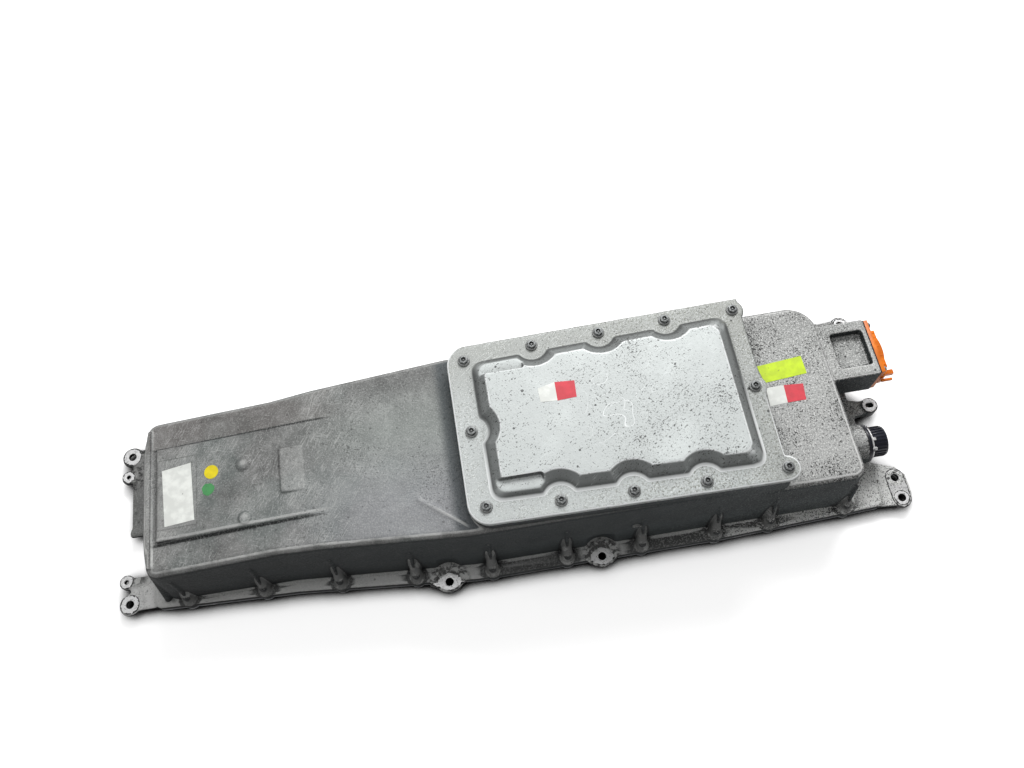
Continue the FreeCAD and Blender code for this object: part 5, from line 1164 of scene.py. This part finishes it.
def flat_patch(name, cuts, *corners):
    """A grid between four corners, seen from above, in millimetres, high over the roof."""
    piece = primitive("grid", name, (0, 0, 0), x_subdivisions=cuts, y_subdivisions=cuts, size=2.0)
    first, second, third, fourth = (Vector((x, y, 0.0)) * MILLIMETRE for x, y in corners)
    for vertex in piece.data.vertices:
        across = (vertex.co.x + 1.0) / 2
        down = (vertex.co.y + 1.0) / 2
        upper = first.lerp(second, across)
        lower = fourth.lerp(third, across)
        vertex.co = lower.lerp(upper, down) + Vector((0, 0, PATCH_START))
    return piece


def round_patch(name, x, y, radius, raggedness=0.0):
    """A disc, seen from above, in millimetres, high over the roof; raggedness makes its rim uneven."""
    middle = Vector((x, y)) * MILLIMETRE
    radius *= MILLIMETRE
    piece = primitive("circle", name, (*middle, PATCH_START), vertices=48, radius=radius, fill_type="NGON")
    with editing(piece) as mesh:
        for _ in range(4):
            pick(mesh, lambda centre, normal: (centre.xy - middle).length < radius * 0.1)
            bpy.ops.mesh.inset(thickness=radius * 0.2, depth=0.0)
    for vertex in piece.data.vertices:
        arm = vertex.co.xy - middle
        turn = math.atan2(arm.y, arm.x)
        wave = math.sin(3 * turn + 0.7) + 0.6 * math.sin(7 * turn) + 0.4 * math.sin(13 * turn + 2.0)
        vertex.co.xy = middle + arm * (1.0 + raggedness * wave)
    return piece


def lay_on(piece, surface, thickness):
    """Lets a patch down onto the surface below it and gives it its thickness."""
    downwards = {"use_project_z": True, "use_negative_direction": True, "use_positive_direction": False}
    shape(piece, "SHRINKWRAP", target=surface, wrap_method="PROJECT", offset=PATCH_GAP, **downwards)
    with editing(piece, "SELECT") as mesh:
        bpy.ops.mesh.normals_make_consistent(inside=False)
        if sum(face.normal.z for face in mesh.faces) < 0:
            bpy.ops.mesh.flip_normals()
    shape(piece, "SOLIDIFY", thickness=thickness, offset=1.0)
    smooth(piece)


class BATTERY_OT_stickers(bpy.types.Operator):
    """Adds the plain labels, stickers and paint dab"""

    bl_idname = "battery.stickers"
    bl_label = "Stickers"

    def execute(self, context):
        sizes, colours = scene_values(context)
        roof = bpy.data.objects["housing_casting"]
        cover = bpy.data.objects["cover_casting"]
        paper = sticker_finish("white_film", colours.paper, -0.02)
        red = sticker_finish("red_film", colours.red, -0.02)
        lime = sticker_finish("lime_film", colours.lime, 0.02)
        yellow = sticker_finish("yellow_film", colours.yellow, -0.03)
        green = sticker_finish("green_paint", colours.green, 0.01)
        shoulder = [(276.5, 10.2), (295.3, 10.3), (294, -9.5), (275.5, -10.5)]
        # name, what it lies on, film, cuts and corners in millimetres
        labels = [
            ("rating_label", roof, paper, 12, (-346.8, 24.5), (-317, 28), (-314, -33), (-344, -35)),
            ("cover_sticker_white", cover, paper, 8, (40, 30), (57.7, 34), (57.2, 13.8), (40.5, 15)),
            ("cover_sticker_red", cover, red, 8, (57.7, 34), (77.5, 32.5), (76.5, 14.7), (57.2, 13.8)),
            ("shoulder_sticker_white", roof, paper, 8, *shoulder),
            ("shoulder_sticker_red", roof, red, 8, (295.3, 10.3), (315.6, 8.7), (313.6, -9.3), (294, -9.5)),
            ("lime_label", roof, lime, 10, (274, 36), (322.5, 40), (323, 19.5), (277, 16)),
        ]
        patches = [(flat_patch(name, *rest), surface, film) for name, surface, film, *rest in labels]
        patches.append((round_patch("yellow_dot", -296.0, 13.8, radius=7.25), roof, yellow))
        patches.append((round_patch("green_dab", -299.5, -4.0, radius=6.3, raggedness=0.045), roof, green))
        for piece, surface, film in patches:
            lay_on(piece, surface, sizes.sticker_thickness)
            place_piece(piece, film, "cast_aluminium")
        return {"FINISHED"}


# Nodes that keep their own shape


class BATTERY_OT_other_finishes(bpy.types.Operator):
    """Gives every other node the finish of its material slot"""

    bl_idname = "battery.other_finishes"
    bl_label = "Other finishes"

    def execute(self, context):
        colours = scene_values(context)[1]
        # tone, metallic, grain and roughness
        sheets = {
            "contact_metal": ((0.84, 0.80, 0.70), 0.9, 900.0, 0.28),
            "copper": ((0.82, 0.52, 0.36), 0.95, 500.0, 0.3),
            "link_metal": ((0.84, 0.84, 0.83), 0.9, 600.0, 0.32),
            "band_steel": ((0.74, 0.74, 0.74), 0.85, 450.0, 0.34),
            "resistor_metal": ((0.76, 0.68, 0.45), 0.8, 700.0, 0.36),
            "cell_case": ((0.78, 0.79, 0.80), 0.85, 380.0, 0.36),
        }
        # tone, grain, roughness and dust
        mouldings = {
            "gasket_rubber": ((0.13, 0.13, 0.13), 1500.0, 0.7, 0.10),
            "carrier_plastic": ((0.86, 0.86, 0.84), 900.0, 0.5, 0.05),
            "fuse_ceramic": ((0.90, 0.88, 0.83), 1400.0, 0.6, 0.04),
            "contactor_plastic": ((0.16, 0.16, 0.17), 1100.0, 0.45, 0.06),
        }
        finishes = {name: sheet_finish(name, *values) for name, values in sheets.items()}
        finishes.update({name: moulded_finish(name, *values) for name, values in mouldings.items()})
        finishes.update(plate_metal=plate_finish(colours), pad_grey=pad_finish(), board_green=board_finish())
        for name in ("screw_steel", "orange_plastic", "black_plastic"):
            finishes[name] = bpy.data.materials[name]
        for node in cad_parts.values():
            for holder in node.material_slots:
                slot = holder.material.name.split(".")[0] if holder.material else ""
                if slot in finishes:
                    holder.material = finishes[slot]
        return {"FINISHED"}


# The stage


def stage_floor():
    """A pale floor: white to the camera and in reflections, greyer where its light falls on the object."""
    floor = primitive("plane", "floor", (0, 0, -0.0002), size=12.0)
    finish = Finish("floor_paper", roughness=0.9)
    path = "ShaderNodeLightPath"
    seen = finish.node(path, output="Is Camera Ray") | finish.node(path, output="Is Glossy Ray")
    seen = seen | finish.node(path, output="Is Transmission Ray")
    pale = finish.blend(0.3 * finish.noise(30.0, 2.0), (0.995, 0.995, 0.995), (0.985, 0.985, 0.985))
    finish.colour = (0.45, 0.45, 0.46)
    finish.coat(seen, pale)
    # painted shadow: near black and without glow where the object is close above the floor
    under = finish.node("ShaderNodeAmbientOcclusion", {"samples": 16}, {"Distance": 0.020}, output="AO")
    open_floor = finish.band(under, 0.48, 0.98)
    finish.coat((1.0 - open_floor) * seen, (0.05, 0.05, 0.05))
    finish.surface("Specular IOR Level", 0.0)
    finish.surface("Emission Strength", 1.0)
    haze = finish.blend(finish.around(0.0, 0.0, 0.7, 2.2), (1.0, 1.0, 1.0), (0.755, 0.755, 0.755))
    glow = finish.blend(seen * open_floor, (0.0, 0.0, 0.0), haze)
    finish.surface("Emission Color", glow)
    floor.data.materials.append(finish.done())


def stage_world():
    """White to the camera, dimmer as light on the object."""
    world = bpy.data.worlds.new("studio")
    bpy.context.scene.world = world
    world.use_nodes = True
    nodes, links = world.node_tree.nodes, world.node_tree.links
    path = nodes.new("ShaderNodeLightPath")
    background = nodes["Background"]
    background.inputs["Color"].default_value = (1.0, 1.0, 1.0, 1.0)
    level = nodes.new("ShaderNodeMapRange")
    level.inputs["To Min"].default_value = 0.27
    level.inputs["To Max"].default_value = 1.0
    links.new(path.outputs["Is Camera Ray"], level.inputs["Value"])
    links.new(level.outputs["Result"], background.inputs["Strength"])


def stage_lamp(name, location, target, size, power):
    """A rectangular lamp that shines at a point."""
    light = bpy.data.lights.new(name, "AREA")
    light.shape = "RECTANGLE"
    light.size, light.size_y = size
    light.energy = power
    lamp = bpy.data.objects.new(name, light)
    lamp.location = location
    lamp.rotation_euler = (Vector(target) - Vector(location)).to_track_quat("-Z", "Y").to_euler()
    bpy.context.scene.collection.objects.link(lamp)


def stage_camera():
    """The photograph's viewpoint: above the near side, tilted and a little rolled."""
    camera = bpy.data.cameras.new("photo_view")
    camera.lens = 31.64
    camera.sensor_width = 36.0
    holder = bpy.data.objects.new("photo_view", camera)
    holder.location = (-0.0196, -0.3381, 0.9484)
    yaw, pitch, roll = 0.0939839905, 1.13250916, -0.0736939
    level = Matrix.Rotation(-yaw, 4, "Z") @ Matrix.Rotation(math.pi / 2 - pitch, 4, "X")
    holder.rotation_euler = (level @ Matrix.Rotation(roll, 4, "Z")).to_euler()
    bpy.context.scene.collection.objects.link(holder)
    bpy.context.scene.camera = holder


class BATTERY_OT_stage(bpy.types.Operator):
    """Adds the floor, lamps, world and camera"""

    bl_idname = "battery.stage"
    bl_label = "Stage"

    def execute(self, context):
        stage_floor()
        stage_world()
        stage_lamp("key", (0.45, 1.20, 1.35), target=(0.0, 0.0, 0.05), size=(1.3, 0.6), power=27.0)
        stage_lamp("top", (-0.5, 0.2, 1.9), target=(0.0, 0.0, 0.0), size=(0.9, 0.9), power=9.0)
        stage_camera()
        context.scene.view_settings.view_transform = "Standard"
        return {"FINISHED"}


# Registration


OPERATORS = [
    BATTERY_OT_housing,
    BATTERY_OT_cover,
    BATTERY_OT_ears,
    BATTERY_OT_screws,
    BATTERY_OT_power_connector,
    BATTERY_OT_signal_connector,
    BATTERY_OT_stickers,
    BATTERY_OT_other_finishes,
    BATTERY_OT_stage,
]


class BATTERY_PT_looks(bpy.types.Panel):
    """Lists the sizes, the colours and each step"""

    bl_label = "Battery looks"
    bl_space_type = "VIEW_3D"
    bl_region_type = "UI"
    bl_category = "Battery"

    def draw(self, context):
        for group in scene_values(context):
            box = self.layout.box()
            for name in group.bl_rna.properties.keys():
                if name not in ("rna_type", "name"):
                    box.prop(group, name)
        for operator in OPERATORS:
            self.layout.operator(operator.bl_idname)


CLASSES = [BatterySizes, BatteryColours, *OPERATORS, BATTERY_PT_looks]


def register():
    """Makes the add-on's classes and settings known."""
    for item in CLASSES:
        bpy.utils.register_class(item)
    bpy.types.Scene.battery_sizes = PointerProperty(type=BatterySizes)
    bpy.types.Scene.battery_colours = PointerProperty(type=BatteryColours)


def unregister():
    """Takes them away again."""
    del bpy.types.Scene.battery_colours
    del bpy.types.Scene.battery_sizes
    for item in reversed(CLASSES):
        bpy.utils.unregister_class(item)


def main():
    """Runs every step in order."""
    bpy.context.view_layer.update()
    register()
    for operator in OPERATORS:
        group, step = operator.bl_idname.split(".")
        getattr(getattr(bpy.ops, group), step)()


if __name__ == "__main__":
    main()
